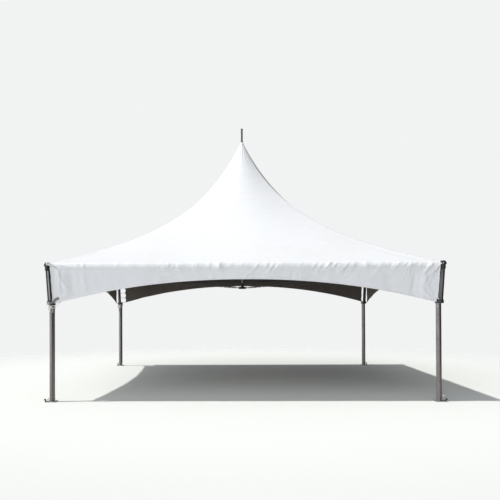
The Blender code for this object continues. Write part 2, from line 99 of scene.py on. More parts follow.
# %% [markdown]
# ## Camera
#
# The viewpoint was worked out from the picture: the feet, the posts' tops, the peak and the hub are
# points of known size, and one camera fits them all to a pixel or two. It stands at eye height, 13 m
# in front of the tent. A small shift keeps the uprights parallel while the tent sits off centre.

# %% Camera
CAMERA_AT = (-0.1128, -13.1359, 1.5023)
CAMERA_TURN, CAMERA_PITCH, CAMERA_ROLL = (math.radians(v) for v in (1.10, 90.574, -0.243))


def new_object(name, data):
    """An object with this data, put in the scene."""
    made = bpy.data.objects.new(name, data)
    bpy.context.scene.collection.objects.link(made)
    return made


camera_data = bpy.data.cameras.new("camera")
camera_data.sensor_width = 36.0
camera_data.lens = 46.995
camera_data.shift_x = 0.0512
camera_data.shift_y = 0.0960
camera_data.clip_end = 400.0
camera = new_object("camera", camera_data)
turn = Matrix.Rotation(CAMERA_TURN, 4, "Z")
tilt = Matrix.Rotation(CAMERA_PITCH, 4, "X")
roll = Matrix.Rotation(CAMERA_ROLL, 4, "Z")
camera.matrix_world = Matrix.Translation(CAMERA_AT) @ turn @ tilt @ roll
bpy.context.scene.camera = camera
bpy.context.scene.view_settings.view_transform = "Standard"
print("camera distance:", round(camera.location.length, 2))

# %% [markdown]
# ## Shader helpers
#
# A finish is built from a few nodes. These helpers make a node, set its values and link it, so that
# each material reads as a short recipe.

# %% Node helpers
def feed(node, key, value):
    """Sets a node's input to a value, or links another socket to it."""
    if isinstance(value, bpy.types.NodeSocket):
        node.id_data.links.new(value, node.inputs[key])
    else:
        node.inputs[key].default_value = value


def add_node(tree, kind, inputs=None, **settings):
    """A shader node of this kind, with its settings; inputs maps a socket's name or number to its value."""
    made = tree.nodes.new("ShaderNode" + kind)
    for name, value in settings.items():
        setattr(made, name, value)
    for key, value in (inputs or {}).items():
        feed(made, key, value)
    return made


def maths(tree, operation, a, b=0.0, c=0.0, clamp=False):
    """The result socket of one sum on values or sockets."""
    return add_node(tree, "Math", {0: a, 1: b, 2: c}, operation=operation, use_clamp=clamp).outputs[0]


def ramp(tree, value, low, high, to_low=0.0, to_high=1.0):
    """A smooth S from to_low to to_high as the value goes from low to high."""
    sockets = {"Value": value, "From Min": low, "From Max": high, "To Min": to_low, "To Max": to_high}
    return add_node(tree, "MapRange", sockets, interpolation_type="SMOOTHSTEP").outputs["Result"]


def noise(tree, place, scale, detail, roughness=0.5):
    """Cloudy noise between 0 and 1 at these coordinates."""
    sockets = {"Vector": place, "Scale": scale, "Detail": detail, "Roughness": roughness}
    return add_node(tree, "TexNoise", sockets).outputs["Fac"]


def along_way(tree, place, way):
    """How far the coordinates lie along a way: their dot product with it."""
    return add_node(tree, "VectorMath", {0: place, 1: way}, operation="DOT_PRODUCT").outputs["Value"]


def blend(tree, share, a, b):
    """The colour between a and b at this share."""
    mixed = add_node(tree, "Mix", {"Factor": share}, data_type="RGBA")
    for socket, value in zip([s for s in mixed.inputs if s.type == "RGBA"], (a, b)):
        if isinstance(value, bpy.types.NodeSocket):
            tree.links.new(value, socket)
        else:
            socket.default_value = (*value, 1.0)
    return next(s for s in mixed.outputs if s.type == "RGBA")


print("node helpers ready")

# %% Group helpers
def new_group(name, inputs, output):
    """An empty node group with one output: returns it, the sockets of its inputs and its output node.
    inputs maps a name to its default."""
    group = bpy.data.node_groups.new(name, "ShaderNodeTree")
    for label, default in inputs.items():
        kind = "NodeSocketVector" if label == "Vector" else "NodeSocketFloat"
        socket = group.interface.new_socket(label, in_out="INPUT", socket_type=kind)
        if label != "Vector":
            socket.default_value = default
    group.interface.new_socket(output, in_out="OUTPUT", socket_type="NodeSocketFloat")
    return group, group.nodes.new("NodeGroupInput").outputs, group.nodes.new("NodeGroupOutput")


def use_group(tree, group, **inputs):
    """The output of the group placed in a material with its own values; _ in a name stands for a space."""
    inputs = {name.replace("_", " "): value for name, value in inputs.items()}
    return add_node(tree, "Group", inputs, node_tree=group).outputs[0]


print("group helpers ready")

# %% [markdown]
# ## Effects that several finishes share
#
# Soiling is cloudy noise at two scales. The scrim is the square net of threads inside coated cloth.
# Fold marks are the thin lines that stay in vinyl where it was folded for storage: where a cloudy
# noise passes through its middle value, it draws a line. Drawn streaks are noise stretched along one
# axis, as on metal pulled through a die. Each is a node group, built once and placed with its own
# values.

# %% Soiling and scrim
FINE_PER_BROAD = 7.3
LEAST_COVERED = 0.62
FULLY_SOILED = 0.72

soiling, given, result = new_group("Soiling", {"Vector": None, "Scale": 1.0, "Cover": 0.5}, "Mask")
clouds = noise(soiling, given["Vector"], given["Scale"], 5.0, 0.6)
specks = noise(soiling, given["Vector"], maths(soiling, "MULTIPLY", given["Scale"], FINE_PER_BROAD), 3.0)
cloudy = maths(soiling, "MULTIPLY_ADD", clouds, 0.7, maths(soiling, "MULTIPLY", specks, 0.3))
bare = maths(soiling, "MULTIPLY", maths(soiling, "SUBTRACT", 1.0, given["Cover"]), LEAST_COVERED)
feed(result, "Mask", ramp(soiling, cloudy, bare, FULLY_SOILED))

scrim, given, result = new_group("Scrim", {"Vector": None, "Threads per metre": 700.0}, "Height")
parts = add_node(scrim, "SeparateXYZ", {"Vector": given["Vector"]}).outputs
rate = maths(scrim, "MULTIPLY", given["Threads per metre"], 2 * math.pi)
waves = [maths(scrim, "SINE", maths(scrim, "MULTIPLY", parts[axis], rate)) for axis in ("X", "Y")]
feed(result, "Height", maths(scrim, "MULTIPLY", maths(scrim, "ADD", *waves), 0.25))
print("groups:", soiling.name, scrim.name)

# %% Fold marks and drawn streaks
sockets = {"Vector": None, "Scale": 2.0, "Sharpness": 14.0}
fold_marks, given, result = new_group("Fold marks", sockets, "Height")
cloud = noise(fold_marks, given["Vector"], given["Scale"], 2.0)
off_middle = maths(fold_marks, "ABSOLUTE", maths(fold_marks, "SUBTRACT", cloud, 0.5))
faded = maths(fold_marks, "MULTIPLY", off_middle, given["Sharpness"])
feed(result, "Height", maths(fold_marks, "SUBTRACT", 1.0, faded, clamp=True))

sockets = {"Vector": None, "Fineness": 300.0, "Length": 0.02}
streaks, given, result = new_group("Drawn streaks", sockets, "Mask")
parts = add_node(streaks, "SeparateXYZ", {"Vector": given["Vector"]}).outputs
shortened = maths(streaks, "MULTIPLY", parts["Z"], given["Length"])
drawn = add_node(streaks, "CombineXYZ", {"X": parts["X"], "Y": parts["Y"], "Z": shortened}).outputs[0]
feed(result, "Mask", noise(streaks, drawn, given["Fineness"], 2.0))
print("groups:", fold_marks.name, streaks.name)

# %% Start of a material
def new_finish(name, roughness, metallic=0.0, specular=0.5):
    """An empty Principled material: returns the material, its tree, its shader and its coordinates."""
    material = bpy.data.materials.new(name)
    material.use_nodes = True
    tree = material.node_tree
    shader = tree.nodes["Principled BSDF"]
    for label, value in (("Roughness", roughness), ("Metallic", metallic), ("Specular IOR Level", specular)):
        feed(shader, label, value)
    return material, tree, shader, tree.nodes.new("ShaderNodeTexCoord").outputs


def lift(tree, shader, height, strength, distance):
    """Feeds a height to the shader's normal."""
    bump = add_node(tree, "Bump", {"Height": height, "Strength": strength, "Distance": distance})
    feed(shader, "Normal", bump.outputs["Normal"])


print("material start ready")

# %% [markdown]
# ## Coated cloth
#
# The cover is polyester scrim with a white vinyl coat: half gloss, faintly blue in the shade, with
# the net of threads just showing. Its inside is painted dark: painted shade, standing for the shade
# inside the tent. The cloth's own UV map is in metres, so the threads keep their size on every piece.

# %% Cloth outside and inside
CLOTH_THREADS = 420.0


def cloth_finish(name, clean, soiled, cover, roughness):
    """Vinyl on scrim: soiled in clouds, with threads, soft dents and storage lines as its height."""
    material, tree, shader, place = new_finish(name, roughness, specular=0.3)
    dirt = use_group(tree, soiling, Vector=place["Object"], Scale=0.9, Cover=cover)
    net = use_group(tree, scrim, Vector=place["UV"], Threads_per_metre=CLOTH_THREADS)
    marks = use_group(tree, fold_marks, Vector=place["Object"], Scale=1.7, Sharpness=60.0)
    height = maths(tree, "MULTIPLY_ADD", net, 0.06, noise(tree, place["Object"], 5.0, 4.0))
    height = maths(tree, "MULTIPLY_ADD", marks, 0.10, height)
    lift(tree, shader, height, 0.12, 0.01)
    feed(shader, "Base Color", blend(tree, dirt, clean, soiled))
    feed(shader, "Roughness", ramp(tree, dirt, 0.0, 1.0, roughness - 0.02, roughness + 0.05))
    return material


cloth_white = cloth_finish("cloth white", (0.86, 0.875, 0.885), (0.81, 0.822, 0.826), 0.35, 0.52)
# The inner face's dark colours are painted shade: the shade inside the tent, put into the cloth's colour.
cloth_inside_painted_shade = cloth_finish("painted shade cloth inside", (0.165, 0.148, 0.126), (0.130, 0.116, 0.099), 0.45, 0.6)
print("cloth:", cloth_white.name, "and", cloth_inside_painted_shade.name)

# %% [markdown]
# ## Metals
#
# Legs, posts and beams are drawn aluminium with a satin skin: metallic, fairly smooth, with fine
# streaks along the length. A Mapping node turns the streaks to run along a beam. Castings are dark
# and grainy, the plate is galvanised with a mottled spangle, and the stakes are dark forged steel
# with rust where they were struck.

# %% Recipes of the metals
STREAK_FINENESS = 260.0
STREAK_LENGTH = 0.015


def drawn_metal(name, light, dark, roughness, metallic=1.0, turned=(0, 0, 0)):
    """Streaks along the length and handling marks, in the colour, the gloss and a little height."""
    material, tree, shader, place = new_finish(name, roughness, metallic)
    angles = tuple(math.radians(v) for v in turned)
    along = add_node(tree, "Mapping", {"Vector": place["Object"], "Rotation": angles}).outputs[0]
    grain = use_group(tree, streaks, Vector=along, Fineness=STREAK_FINENESS, Length=STREAK_LENGTH)
    handled = use_group(tree, soiling, Vector=place["Object"], Scale=2.2, Cover=0.35)
    tone = maths(tree, "MULTIPLY_ADD", grain, 0.55, maths(tree, "MULTIPLY", handled, 0.45))
    lift(tree, shader, grain, 0.05, 0.0003)
    feed(shader, "Base Color", blend(tree, tone, light, dark))
    feed(shader, "Roughness", ramp(tree, handled, 0.0, 1.0, roughness - 0.04, roughness + 0.10))
    return material


def grainy_metal(name, light, dark, roughness, metallic, grain_scale, depth, worn_scale=22.0):
    """Wear in clouds as the colour, and a cast or forged grain as the height."""
    material, tree, shader, place = new_finish(name, roughness, metallic)
    worn = use_group(tree, soiling, Vector=place["Object"], Scale=worn_scale, Cover=0.5)
    lift(tree, shader, noise(tree, place["Object"], grain_scale, 4.0), 0.35, depth)
    feed(shader, "Base Color", blend(tree, worn, light, dark))
    return material


print("metal recipes ready")

# %% Metals of the tent
# The beams' near-black tones are painted shade: the shade inside the roof, put into their colour.
BEAM_SHADE_TONES = ((0.11, 0.105, 0.10), (0.08, 0.077, 0.074))
leg_metal = drawn_metal("leg aluminium", (0.265, 0.248, 0.238), (0.200, 0.187, 0.178), 0.34, 0.85)
# The posts' dark tone is painted shade: the shade under the eave, put into their colour.
post_metal_painted_shade = drawn_metal("painted shade post aluminium", (0.108, 0.100, 0.103), (0.075, 0.069, 0.072), 0.32, 0.8)
rail_metal = drawn_metal("rail aluminium", (0.60, 0.595, 0.59), (0.50, 0.495, 0.49), 0.42, 0.25)
mast_metal = drawn_metal("mast aluminium", (0.36, 0.355, 0.35), (0.28, 0.275, 0.27), 0.32)
beam_x_metal_painted_shade = drawn_metal("painted shade beam aluminium", *BEAM_SHADE_TONES, 0.42, 0.6, turned=(0, 90, 0))
beam_y_metal_painted_shade = drawn_metal("painted shade beam aluminium, side", *BEAM_SHADE_TONES, 0.42, 0.6, turned=(90, 0, 0))

METALS = {
    "dark casting": ((0.022, 0.021, 0.022), (0.036, 0.034, 0.034), 0.45, 0.2, 900.0, 0.0006),
    "fitting black": ((0.014, 0.014, 0.015), (0.026, 0.025, 0.026), 0.24, 0.0, 500.0, 0.0003),
    "galvanised plate": ((0.60, 0.605, 0.61), (0.42, 0.43, 0.435), 0.42, 0.8, 120.0, 0.0004),
    "zinc bolt": ((0.62, 0.62, 0.61), (0.50, 0.49, 0.46), 0.30, 1.0, 600.0, 0.0002, 60.0),
    "stake steel": ((0.05, 0.048, 0.046), (0.11, 0.065, 0.04), 0.55, 0.5, 300.0, 0.0008),
    "grey paint": ((0.075, 0.073, 0.088), (0.105, 0.10, 0.115), 0.42, 0.3, 700.0, 0.0003),
}
dark_casting, fitting_black, galvanised, zinc, stake_steel, grey_paint = (
    grainy_metal(name, *values) for name, values in METALS.items()
)
print("finishes so far:", len([m for m in bpy.data.materials if m.use_nodes]))

# %% [markdown]
# A cable is a wire rope: strands that wind round it show as slanting ridges. All four cables run
# along the diagonals, so the sum and the difference of the plan coordinates give the distance along
# a cable and across it. Near the hub the cable is a turnbuckle with bright zinc, beyond it the wire
# is darker.

# %% Cable finish
STRAND_LENGTH = 0.012
STRAND_SLANT = 520.0
TURNBUCKLE_END = (0.34, 0.36)

cable_steel, tree, shader, place = new_finish("cable steel", 0.34, 0.9)
parts = add_node(tree, "SeparateXYZ", {"Vector": place["Object"]}).outputs
plan = [maths(tree, "ABSOLUTE", parts[axis]) for axis in ("X", "Y")]
along = maths(tree, "MULTIPLY", maths(tree, "ADD", *plan), math.sqrt(0.5))
beside = maths(tree, "MULTIPLY", maths(tree, "SUBTRACT", *plan), math.sqrt(0.5))
slant = maths(tree, "MULTIPLY", beside, STRAND_SLANT)
wound = maths(tree, "SINE", maths(tree, "MULTIPLY_ADD", along, 2 * math.pi / STRAND_LENGTH, slant))
is_wire = ramp(tree, along, *TURNBUCKLE_END)
worn = use_group(tree, soiling, Vector=place["Object"], Scale=30.0, Cover=0.5)
bright = blend(tree, worn, (0.60, 0.60, 0.59), (0.42, 0.415, 0.40))
wire = blend(tree, worn, (0.17, 0.168, 0.165), (0.11, 0.108, 0.105))
feed(shader, "Base Color", blend(tree, is_wire, bright, wire))
lift(tree, shader, maths(tree, "MULTIPLY", wound, is_wire), 0.6, 0.0012)
print("cable:", cable_steel.name)

# %% Finish of each CAD node
NODE_FINISHES = {
    "base_plate": galvanised, "ground_stake": stake_steel, "leg": leg_metal, "leg_collar": dark_casting,
    "corner_post": post_metal_painted_shade, "corner_fitting": fitting_black, "cross_cable": cable_steel,
    "mast": mast_metal, "mast_hub": dark_casting, "mast_crown": galvanised, "mast_finial": grey_paint,
    "eave_beam_front": beam_x_metal_painted_shade, "eave_beam_back": beam_x_metal_painted_shade,
    "eave_beam_left": beam_y_metal_painted_shade, "eave_beam_right": beam_y_metal_painted_shade,
}
dressed = 0
for name, node in nodes.items():
    stem = next((name[: -len(place) - 1] for place in [*CORNERS, *SIDES] if name.endswith("_" + place)), name)
    finish = NODE_FINISHES.get(name, NODE_FINISHES.get(stem))
    if finish:
        node.data.materials.clear()
        node.data.materials.append(finish)
        dressed += 1
print("nodes that keep their CAD shape:", dressed)

# %% [markdown]
# ## Mesh helpers
#
# Every new piece is one or more grids of points, worked out with whole arrays. A helper puts the
# grids into one mesh, welds their seams and poles, and makes the object ride on the frame.

# %% Grids and their maps
def gone_along(points):
    """Distance along a line at each of its points."""
    return np.concatenate([[0.0], np.cumsum(np.linalg.norm(np.diff(points, axis=0), axis=1))])


def grid_faces(rows, columns):
    """Corner numbers of the quads between rows x columns points; the face looks along row x column."""
    first = np.arange(rows - 1)[:, None] * columns + np.arange(columns - 1)[None, :]
    return np.stack([first, first + columns, first + columns + 1, first + 1], axis=-1).reshape(-1, 4)


def metres_map(grid):
    """A UV map in metres: the distance along the middle row, and down the first column."""
    across, down = gone_along(grid[len(grid) // 2])[None, :], gone_along(grid[:, 0])[:, None]
    return np.stack(np.broadcast_arrays(across, down), axis=-1)


print("faces of 3 x 3 points:", len(grid_faces(3, 3)))

# %% Grids into one mesh
WELD = 0.00001


def new_piece(name, patches, finishes, closed=True, maps=None, sharp=40.0):
    """One object from grids of points, each rows x columns x 3, with a UV map in metres.

    Points closer than WELD are joined, which closes seams and poles. A closed piece has its faces
    turned outwards; an open sheet keeps the way its grids give."""
    maps = maps or [metres_map(patch) for patch in patches]
    points = np.concatenate([patch.reshape(-1, 3) for patch in patches]).astype(np.float32)
    starts = np.cumsum([0] + [patch.shape[0] * patch.shape[1] for patch in patches[:-1]])
    faces = np.concatenate([grid_faces(*patch.shape[:2]) + start for patch, start in zip(patches, starts)])
    mesh = bpy.data.meshes.new(name)
    mesh.vertices.add(len(points))
    mesh.vertices.foreach_set("co", points.ravel())
    mesh.loops.add(faces.size)
    mesh.loops.foreach_set("vertex_index", faces.ravel().astype(np.int32))
    mesh.polygons.add(len(faces))
    mesh.polygons.foreach_set("loop_start", np.arange(0, faces.size, 4, dtype=np.int32))
    mesh.update(calc_edges=True)
    flat = np.concatenate([m.reshape(-1, 2) for m in maps]).astype(np.float32)
    mesh.uv_layers.new(name="cut").data.foreach_set("uv", flat[faces.ravel()].ravel())
    work = bmesh.new()
    work.from_mesh(mesh)
    bmesh.ops.remove_doubles(work, verts=work.verts, dist=WELD)
    if closed:
        bmesh.ops.recalc_face_normals(work, faces=work.faces)
    work.to_mesh(mesh)
    work.free()
    mesh.shade_smooth()
    mesh.set_sharp_from_angle(angle=math.radians(sharp))
    for finish in finishes:
        mesh.materials.append(finish)
    piece = new_object(name, mesh)
    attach(piece, "root")
    return piece


print("grid helpers ready")

# %% Places on the tent
def turned_about_z(points, degrees):
    """The points turned about the tent's upright middle line."""
    c, s = math.cos(math.radians(degrees)), math.sin(math.radians(degrees))
    return np.asarray(points, float) @ np.array([[c, s, 0.0], [-s, c, 0.0], [0.0, 0.0, 1.0]])


def out_of(side):
    """The level direction out of a side."""
    return turned_about_z([0.0, -1.0, 0.0], SIDES[side])


def at_corner(points, degrees):
    """Points given outward, along the tangent and up from a leg's foot, put at the corner at this angle."""
    return turned_about_z(np.asarray(points, float) + np.array([LEG_HALF * math.sqrt(2), 0.0, 0.0]), degrees)


def out_of_corner(degrees, at=0.0):
    """The level direction at an angle from the outward one of the corner."""
    return turned_about_z([math.cos(math.radians(at)), math.sin(math.radians(at)), 0.0], degrees)


print("front left leg at:", at_corner((0.0, 0.0, 0.0), CORNERS["front_left"]).round(3))

# %% Curves
def smoothstep(low, high, value):
    """0 below low, 1 above high, and a smooth S between."""
    share = np.clip((value - low) / (high - low), 0.0, 1.0)
    return share * share * (3 - 2 * share)


def signed_power(value, power):
    """The size of the value to this power, with its own sign: squares off a sine."""
    return np.sign(value) * np.abs(value) ** power


def circle(count):
    """Cosines and sines of this many even angles."""
    angle = np.linspace(0, 2 * math.pi, count, endpoint=False)
    return np.stack([np.cos(angle), np.sin(angle)], axis=-1)


def unit(vectors):
    """Vectors scaled to length 1 along the last axis."""
    vectors = np.asarray(vectors, float)
    return vectors / np.maximum(np.linalg.norm(vectors, axis=-1, keepdims=True), 1e-9)


def evened(points, step):
    """The same line with points a step apart; columns after the third are carried along."""
    gone = gone_along(points[:, :3])
    even = np.linspace(0, gone[-1], max(4, round(gone[-1] / step) + 1))
    return np.stack([np.interp(even, gone, column) for column in points.T], axis=-1)


def smooth_path(points, step=0.004):
    """A curve through all the points: between two of them, a cubic whose slope at each end is half the
    way from the point before it to the point after. Then the points are laid a step apart."""
    points = np.asarray(points, float)
    ends = np.concatenate([[2 * points[0] - points[1]], points, [2 * points[-1] - points[-2]]])
    t = np.linspace(0, 1, 24, endpoint=False)[None, :, None]
    a, b, c, d = (ends[k:len(ends) - 3 + k, None] for k in range(4))
    fine = 0.5 * (2 * b + (c - a) * t + (2 * a - 5 * b + 4 * c - d) * t**2 + (3 * b - a - 3 * c + d) * t**3)
    return evened(np.concatenate([fine.reshape(-1, points.shape[1]), points[-1:]]), step)


print("curve helpers ready")

# %% [markdown]
# ## Roof
#
# The cover is one sheet, pushed up at the middle by the mast and pulled down along a square. Such a
# membrane is round at the peak and grows square towards the eave, and it dishes inwards all the
# way, because cloth pulled tight in two directions always curves up one way and down the other.
# So height depends on the share of the way out, and plan distance blends a circle with the square.
# The four panels are welded along the hips, where the lap stands up by the thickness of the cloth.

# %% Shape of the roof
SOFTNESS, ABOUT = 90.0, 3.0
PLEAT_HEIGHT, PLEATS_ROUND = 0.0035, 20
CREASE_HEIGHT, CREASE_RATE, CREASE_WIDTH = 0.004, 22, 0.30
LAP_EDGE = (0.014, 0.020)


def roof_height(share):
    """An exponential fall from the peak, plus a small straight fall, reaching the eave at share 1."""
    fade = math.exp(-CURVE_RATE)
    curve = (np.exp(-CURVE_RATE * share**CURVE_POWER) - fade) / (1 - fade)
    return EAVE_Z + (APEX_Z - EAVE_Z) * ((1 - STRAIGHT_SHARE) * curve + STRAIGHT_SHARE * (1 - share))


def square_radius(angle, half):
    """Distance to a square with cut corners. A soft minimum joins its edges: minus the logarithm of the
    summed exponentials, taken about a middle value to keep them small."""
    flat = half / np.cos(angle)
    cut = CORNER_CUT * half / np.cos(math.pi / 4 - np.abs(angle))
    summed = np.exp(-SOFTNESS * (flat - ABOUT)) + np.exp(-SOFTNESS * (cut - ABOUT))
    return ABOUT - np.log(summed) / SOFTNESS


def roof_radius(angle, share):
    """Plan distance: a circle at the peak, blending into the square as share grows."""
    sharp = share**CORNER_SHARPENING
    outline = (1 - sharp) * ROUND_R + sharp * square_radius(angle, ROOF_HALF)
    return RING_R + share * (outline - RING_R)


def roof_relief(angle, share, radius):
    """Height added by tension and welds: pleats round the peak, creases to the corners, a lap on each hip."""
    pleats = PLEAT_HEIGHT * np.cos(PLEATS_ROUND * angle + 0.6 * np.sin(3 * angle))
    pleats = pleats * np.exp(-(((radius - 0.14) / 0.13) ** 2))
    eighth = math.pi / 4
    to_hip = np.abs(np.abs((angle + eighth) % (2 * eighth) - eighth) - eighth) * radius
    creases = CREASE_HEIGHT * np.cos(to_hip * CREASE_RATE) * np.exp(-((to_hip / CREASE_WIDTH) ** 2))
    creases = creases * smoothstep(0.55, 0.9, share)
    lap = CLOTH_T * (1 - smoothstep(*LAP_EDGE, to_hip)) * smoothstep(0.02, 0.05, share)
    return (pleats + creases + lap) * (1 - smoothstep(0.96, 1.0, share))


print("roof at half way:", round(float(roof_height(np.array(0.5))), 3))

# %% Roof sheet
ROOF_COLUMNS, ROOF_ROWS = 141, 66
ROOF_EDGE = np.array([
    (3.0430, 2.1560), (3.0497, 2.1506), (3.0550, 2.1435), (3.0588, 2.1350), (3.0605, 2.1270),
])


def roof_quarter(degrees):
    """One side of the roof as a grid, and its cloth map: rows from the peak to over the beam, columns
    from hip to hip, closer together near the hips."""
    level = np.linspace(-1, 1, ROOF_COLUMNS)
    angle = np.arctan(np.sign(level) * (1 - (1 - np.abs(level)) ** 1.5))[None, :]
    share = (np.linspace(0, 1, ROOF_ROWS) ** 1.35)[:, None]
    radius = roof_radius(angle, share)
    height = roof_height(share) + roof_relief(angle + math.radians(degrees), share, radius)
    edge = np.array([square_radius(angle[0], half) for half in ROOF_EDGE[:, 0]])
    radius = np.concatenate([radius, edge])
    height = np.concatenate([height, np.repeat(ROOF_EDGE[:, 1:], ROOF_COLUMNS, axis=1)])
    grid = np.stack([radius * np.sin(angle), -radius * np.cos(angle), height], axis=-1)
    down = gone_along(grid[:, ROOF_COLUMNS // 2])[:, None]
    return turned_about_z(grid, degrees), np.stack(np.broadcast_arrays(grid[..., 0], down), axis=-1)


def new_sheet(name, grids, cuts, sharp):
    """A sheet of cloth with its thickness laid inwards, and painted shade as the colour of its inner face."""
    finishes = [cloth_white, cloth_inside_painted_shade]
    sheet = new_piece(name, grids, finishes, closed=False, maps=cuts, sharp=sharp)
    solid = sheet.modifiers.new("cloth", "SOLIDIFY")
    solid.thickness = CLOTH_T
    solid.offset = -1.0
    solid.material_offset = 1
    solid.use_even_offset = False
    return sheet


quarters = [roof_quarter(degrees) for degrees in SIDES.values()]
canopy = new_sheet("canopy", *zip(*quarters), sharp=60)
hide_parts(*[f"canopy_{side}" for side in SIDES])

# %% [markdown]
# ## Skirts
#
# Each side's skirt is welded over the roof's edge and hangs from it in an arch. Cloth that is bent
# over a beam never lies quite flat: it gathers in small pleats at the fold, and pulls in straight
# creases towards each point where it is tied. All of them are ridges: a bell curve across a line,
# that fades along it. A skirt's folds are then a list of lines, some given one by one, some strewn.

# %% Ridges
def ridges(across, up, lines):
    """The sum of ridges. Each line is x, z, angle in degrees, length, width, height: the height times
    a bell curve of the distance beside the line, rising over its first tenth and fading out from a
    third of its length on."""
    x, z, angle, length, width, height = np.asarray(lines, float).T
    c, s = np.cos(np.radians(angle)), np.sin(np.radians(angle))
    dx, dz = across[..., None] - x, up[..., None] - z
    along = (dx * c + dz * s) / length
    beside = dz * c - dx * s
    window = smoothstep(-0.08, 0.12, along) * (1 - smoothstep(0.33, 1.0, along))
    spread = width * (0.7 + 0.5 * np.clip(along, 0, 1))
    return np.sum(height * window * np.exp(-((beside / spread) ** 2)), axis=-1)


def strewn(chance, rows):
    """Lines with each value drawn evenly between the two that its row gives."""
    return [np.stack([chance.uniform(*span, count) for span in spans], axis=-1) for count, *spans in rows]


print("ridge functions ready")

# %% [markdown]
# The strewn lines: pleats that start on the fold, fans from the four corners of the skirt, a faint
# edge where the cloth leaves the beam, level wrinkles, and broad soft swells along the fold. A row
# says how many, then between which values x, z, angle, length, width and height are drawn. The front
# has its own pleats and a few lines given one by one, because the picture shows it closely: the pleats
# lean down to the left and crowd together on the right half, two of them are strong, and the left
# end has soft upright folds and a dent under the fold.

# %% Lines of each skirt
FOLD = (2.150, 2.16)
FRONT_PLEATS = [
    (10, (-2.7, -1.2), FOLD, (-125, -70), (0.08, 0.16), (0.012, 0.026), (0.002, 0.006)),
    (17, (-1.2, 0.2), FOLD, (-135, -85), (0.10, 0.24), (0.012, 0.028), (0.002, 0.006)),
    (62, (0.2, 2.93), FOLD, (-142, -110), (0.14, 0.42), (0.011, 0.026), (0.0015, 0.0055)),
]
OTHER_PLEATS = [(46, (-2.8, 2.8), FOLD, (-130, -50), (0.08, 0.19), (0.011, 0.024), (0.002, 0.007))]
FANS = [
    (5, (-2.97, -2.93), (2.06, 2.13), (-70, -8), (0.25, 0.6), (0.012, 0.028), (0.003, 0.008)),
    (5, (2.93, 2.97), (2.06, 2.13), (188, 250), (0.25, 0.6), (0.012, 0.028), (0.003, 0.008)),
    (4, (-2.95, -2.9), (1.56, 1.60), (14, 75), (0.2, 0.5), (0.015, 0.035), (0.003, 0.008)),
    (4, (2.9, 2.95), (1.56, 1.60), (105, 166), (0.2, 0.5), (0.015, 0.035), (0.003, 0.008)),
]
WRINKLES = [
    (11, (-2.9, 2.3), (2.020, 2.036), (-0.8, 0.8), (0.5, 1.3), (0.006, 0.010), (0.0015, 0.0035)),
    (12, (-2.2, 2.2), (1.92, 2.005), (-5, 4), (0.25, 0.9), (0.006, 0.013), (0.0018, 0.0042)),
    (10, (-2.8, 2.6), (1.72, 1.95), (-50, 50), (0.2, 0.6), (0.015, 0.04), (0.003, 0.007)),
    (16, (-2.9, 2.9), (1.95, 2.04), (-110, -70), (0.15, 0.45), (0.015, 0.05), (-0.006, 0.007)),
    (22, (-2.7, 2.8), (2.150, 2.165), (-125, -65), (0.12, 0.34), (0.035, 0.085), (0.003, 0.008)),
]
BY_HAND = np.array([
    (2.895, 2.128, -132.0, 0.30, 0.026, 0.0140),
    (2.575, 2.128, -105.0, 0.27, 0.016, 0.0065),
    (2.730, 2.135, -120.0, 0.14, 0.014, 0.0050),
    (-2.880, 2.140, -17.0, 0.30, 0.012, 0.0100),
    (-2.960, 2.085, -8.0, 0.36, 0.024, -0.0130),
    (-2.948, 2.030, -92.0, 0.60, 0.016, -0.0120),
    (-2.880, 2.050, -88.0, 0.62, 0.022, 0.0100),
    (-2.700, 2.040, -86.0, 0.60, 0.075, -0.0100),
    (-2.500, 2.020, -84.0, 0.60, 0.060, 0.0075),
    (2.780, 2.000, -95.0, 0.60, 0.050, 0.0080),
    (2.640, 1.980, -100.0, 0.50, 0.035, -0.0070),
])


def fold_lines(side, seed):
    """All the ridges of one skirt, as rows for ridges()."""
    pleats = FRONT_PLEATS if side == "front" else OTHER_PLEATS
    drawn = strewn(np.random.default_rng(seed), pleats + FANS + WRINKLES)
    return np.concatenate(drawn + ([BY_HAND] if side == "front" else []))


print("front lines placed by hand:", len(BY_HAND))

# %% [markdown]
# A skirt is a grid. Its rows go from the lap on the roof, over the fold, down the beam and on to the
# hem, and its columns run from end to end, closest together at the ends. The rows of the hem keep
# their distance from the arched edge, so that the cord in the hem swells it by the same all along:
# HEM lists each row's height above the edge and how far it stands out. Between the ties at its ends
# the cloth is pulled in to shallow bows.

# %% Profile and hem of a skirt
FOLD_PROFILE = np.array([
    (3.0200, 2.1673), (3.0335, 2.1632), (3.0445, 2.1575), (3.0535, 2.1500), (3.0603, 2.1405),
    (3.0657, 2.1290), (3.0695, 2.1160), (3.0719, 2.1030), (3.0730, 2.0900), (3.0728, 2.0780),
    (3.0710, 2.0680), (3.0680, 2.0600), (3.0648, 2.0530), (3.0625, 2.0460), (3.0617, 2.0380),
])
FOLD_NORMAL = unit(np.gradient(FOLD_PROFILE, axis=0)) @ np.array([[0.0, 1.0], [-1.0, 0.0]])
TENTH_MM = 0.0001
HEM = TENTH_MM * np.array([
    (460, 0), (340, 0), (280, -3), (245, -12), (220, -2), (180, 30),
    (135, 62), (90, 88), (52, 98), (22, 78), (0, 30),
])
BOWS = {
    ("back", 1): (0.024, 4), ("left", -1): (0.010, 1), ("front", -1): (0.003, 3), ("front", 1): (0.003, 3),
}
OTHER_BOWS = (0.006, 3)
BOWS_FROM, BOWS_TALL = 1.56, 0.48


def hem_height(side, share):
    """Height of the arched lower edge: its top less a drop times a power of the share across."""
    return ARCH_TOP[side] - ARCH_DROP[side] * np.abs(share) ** ARCH_POWER


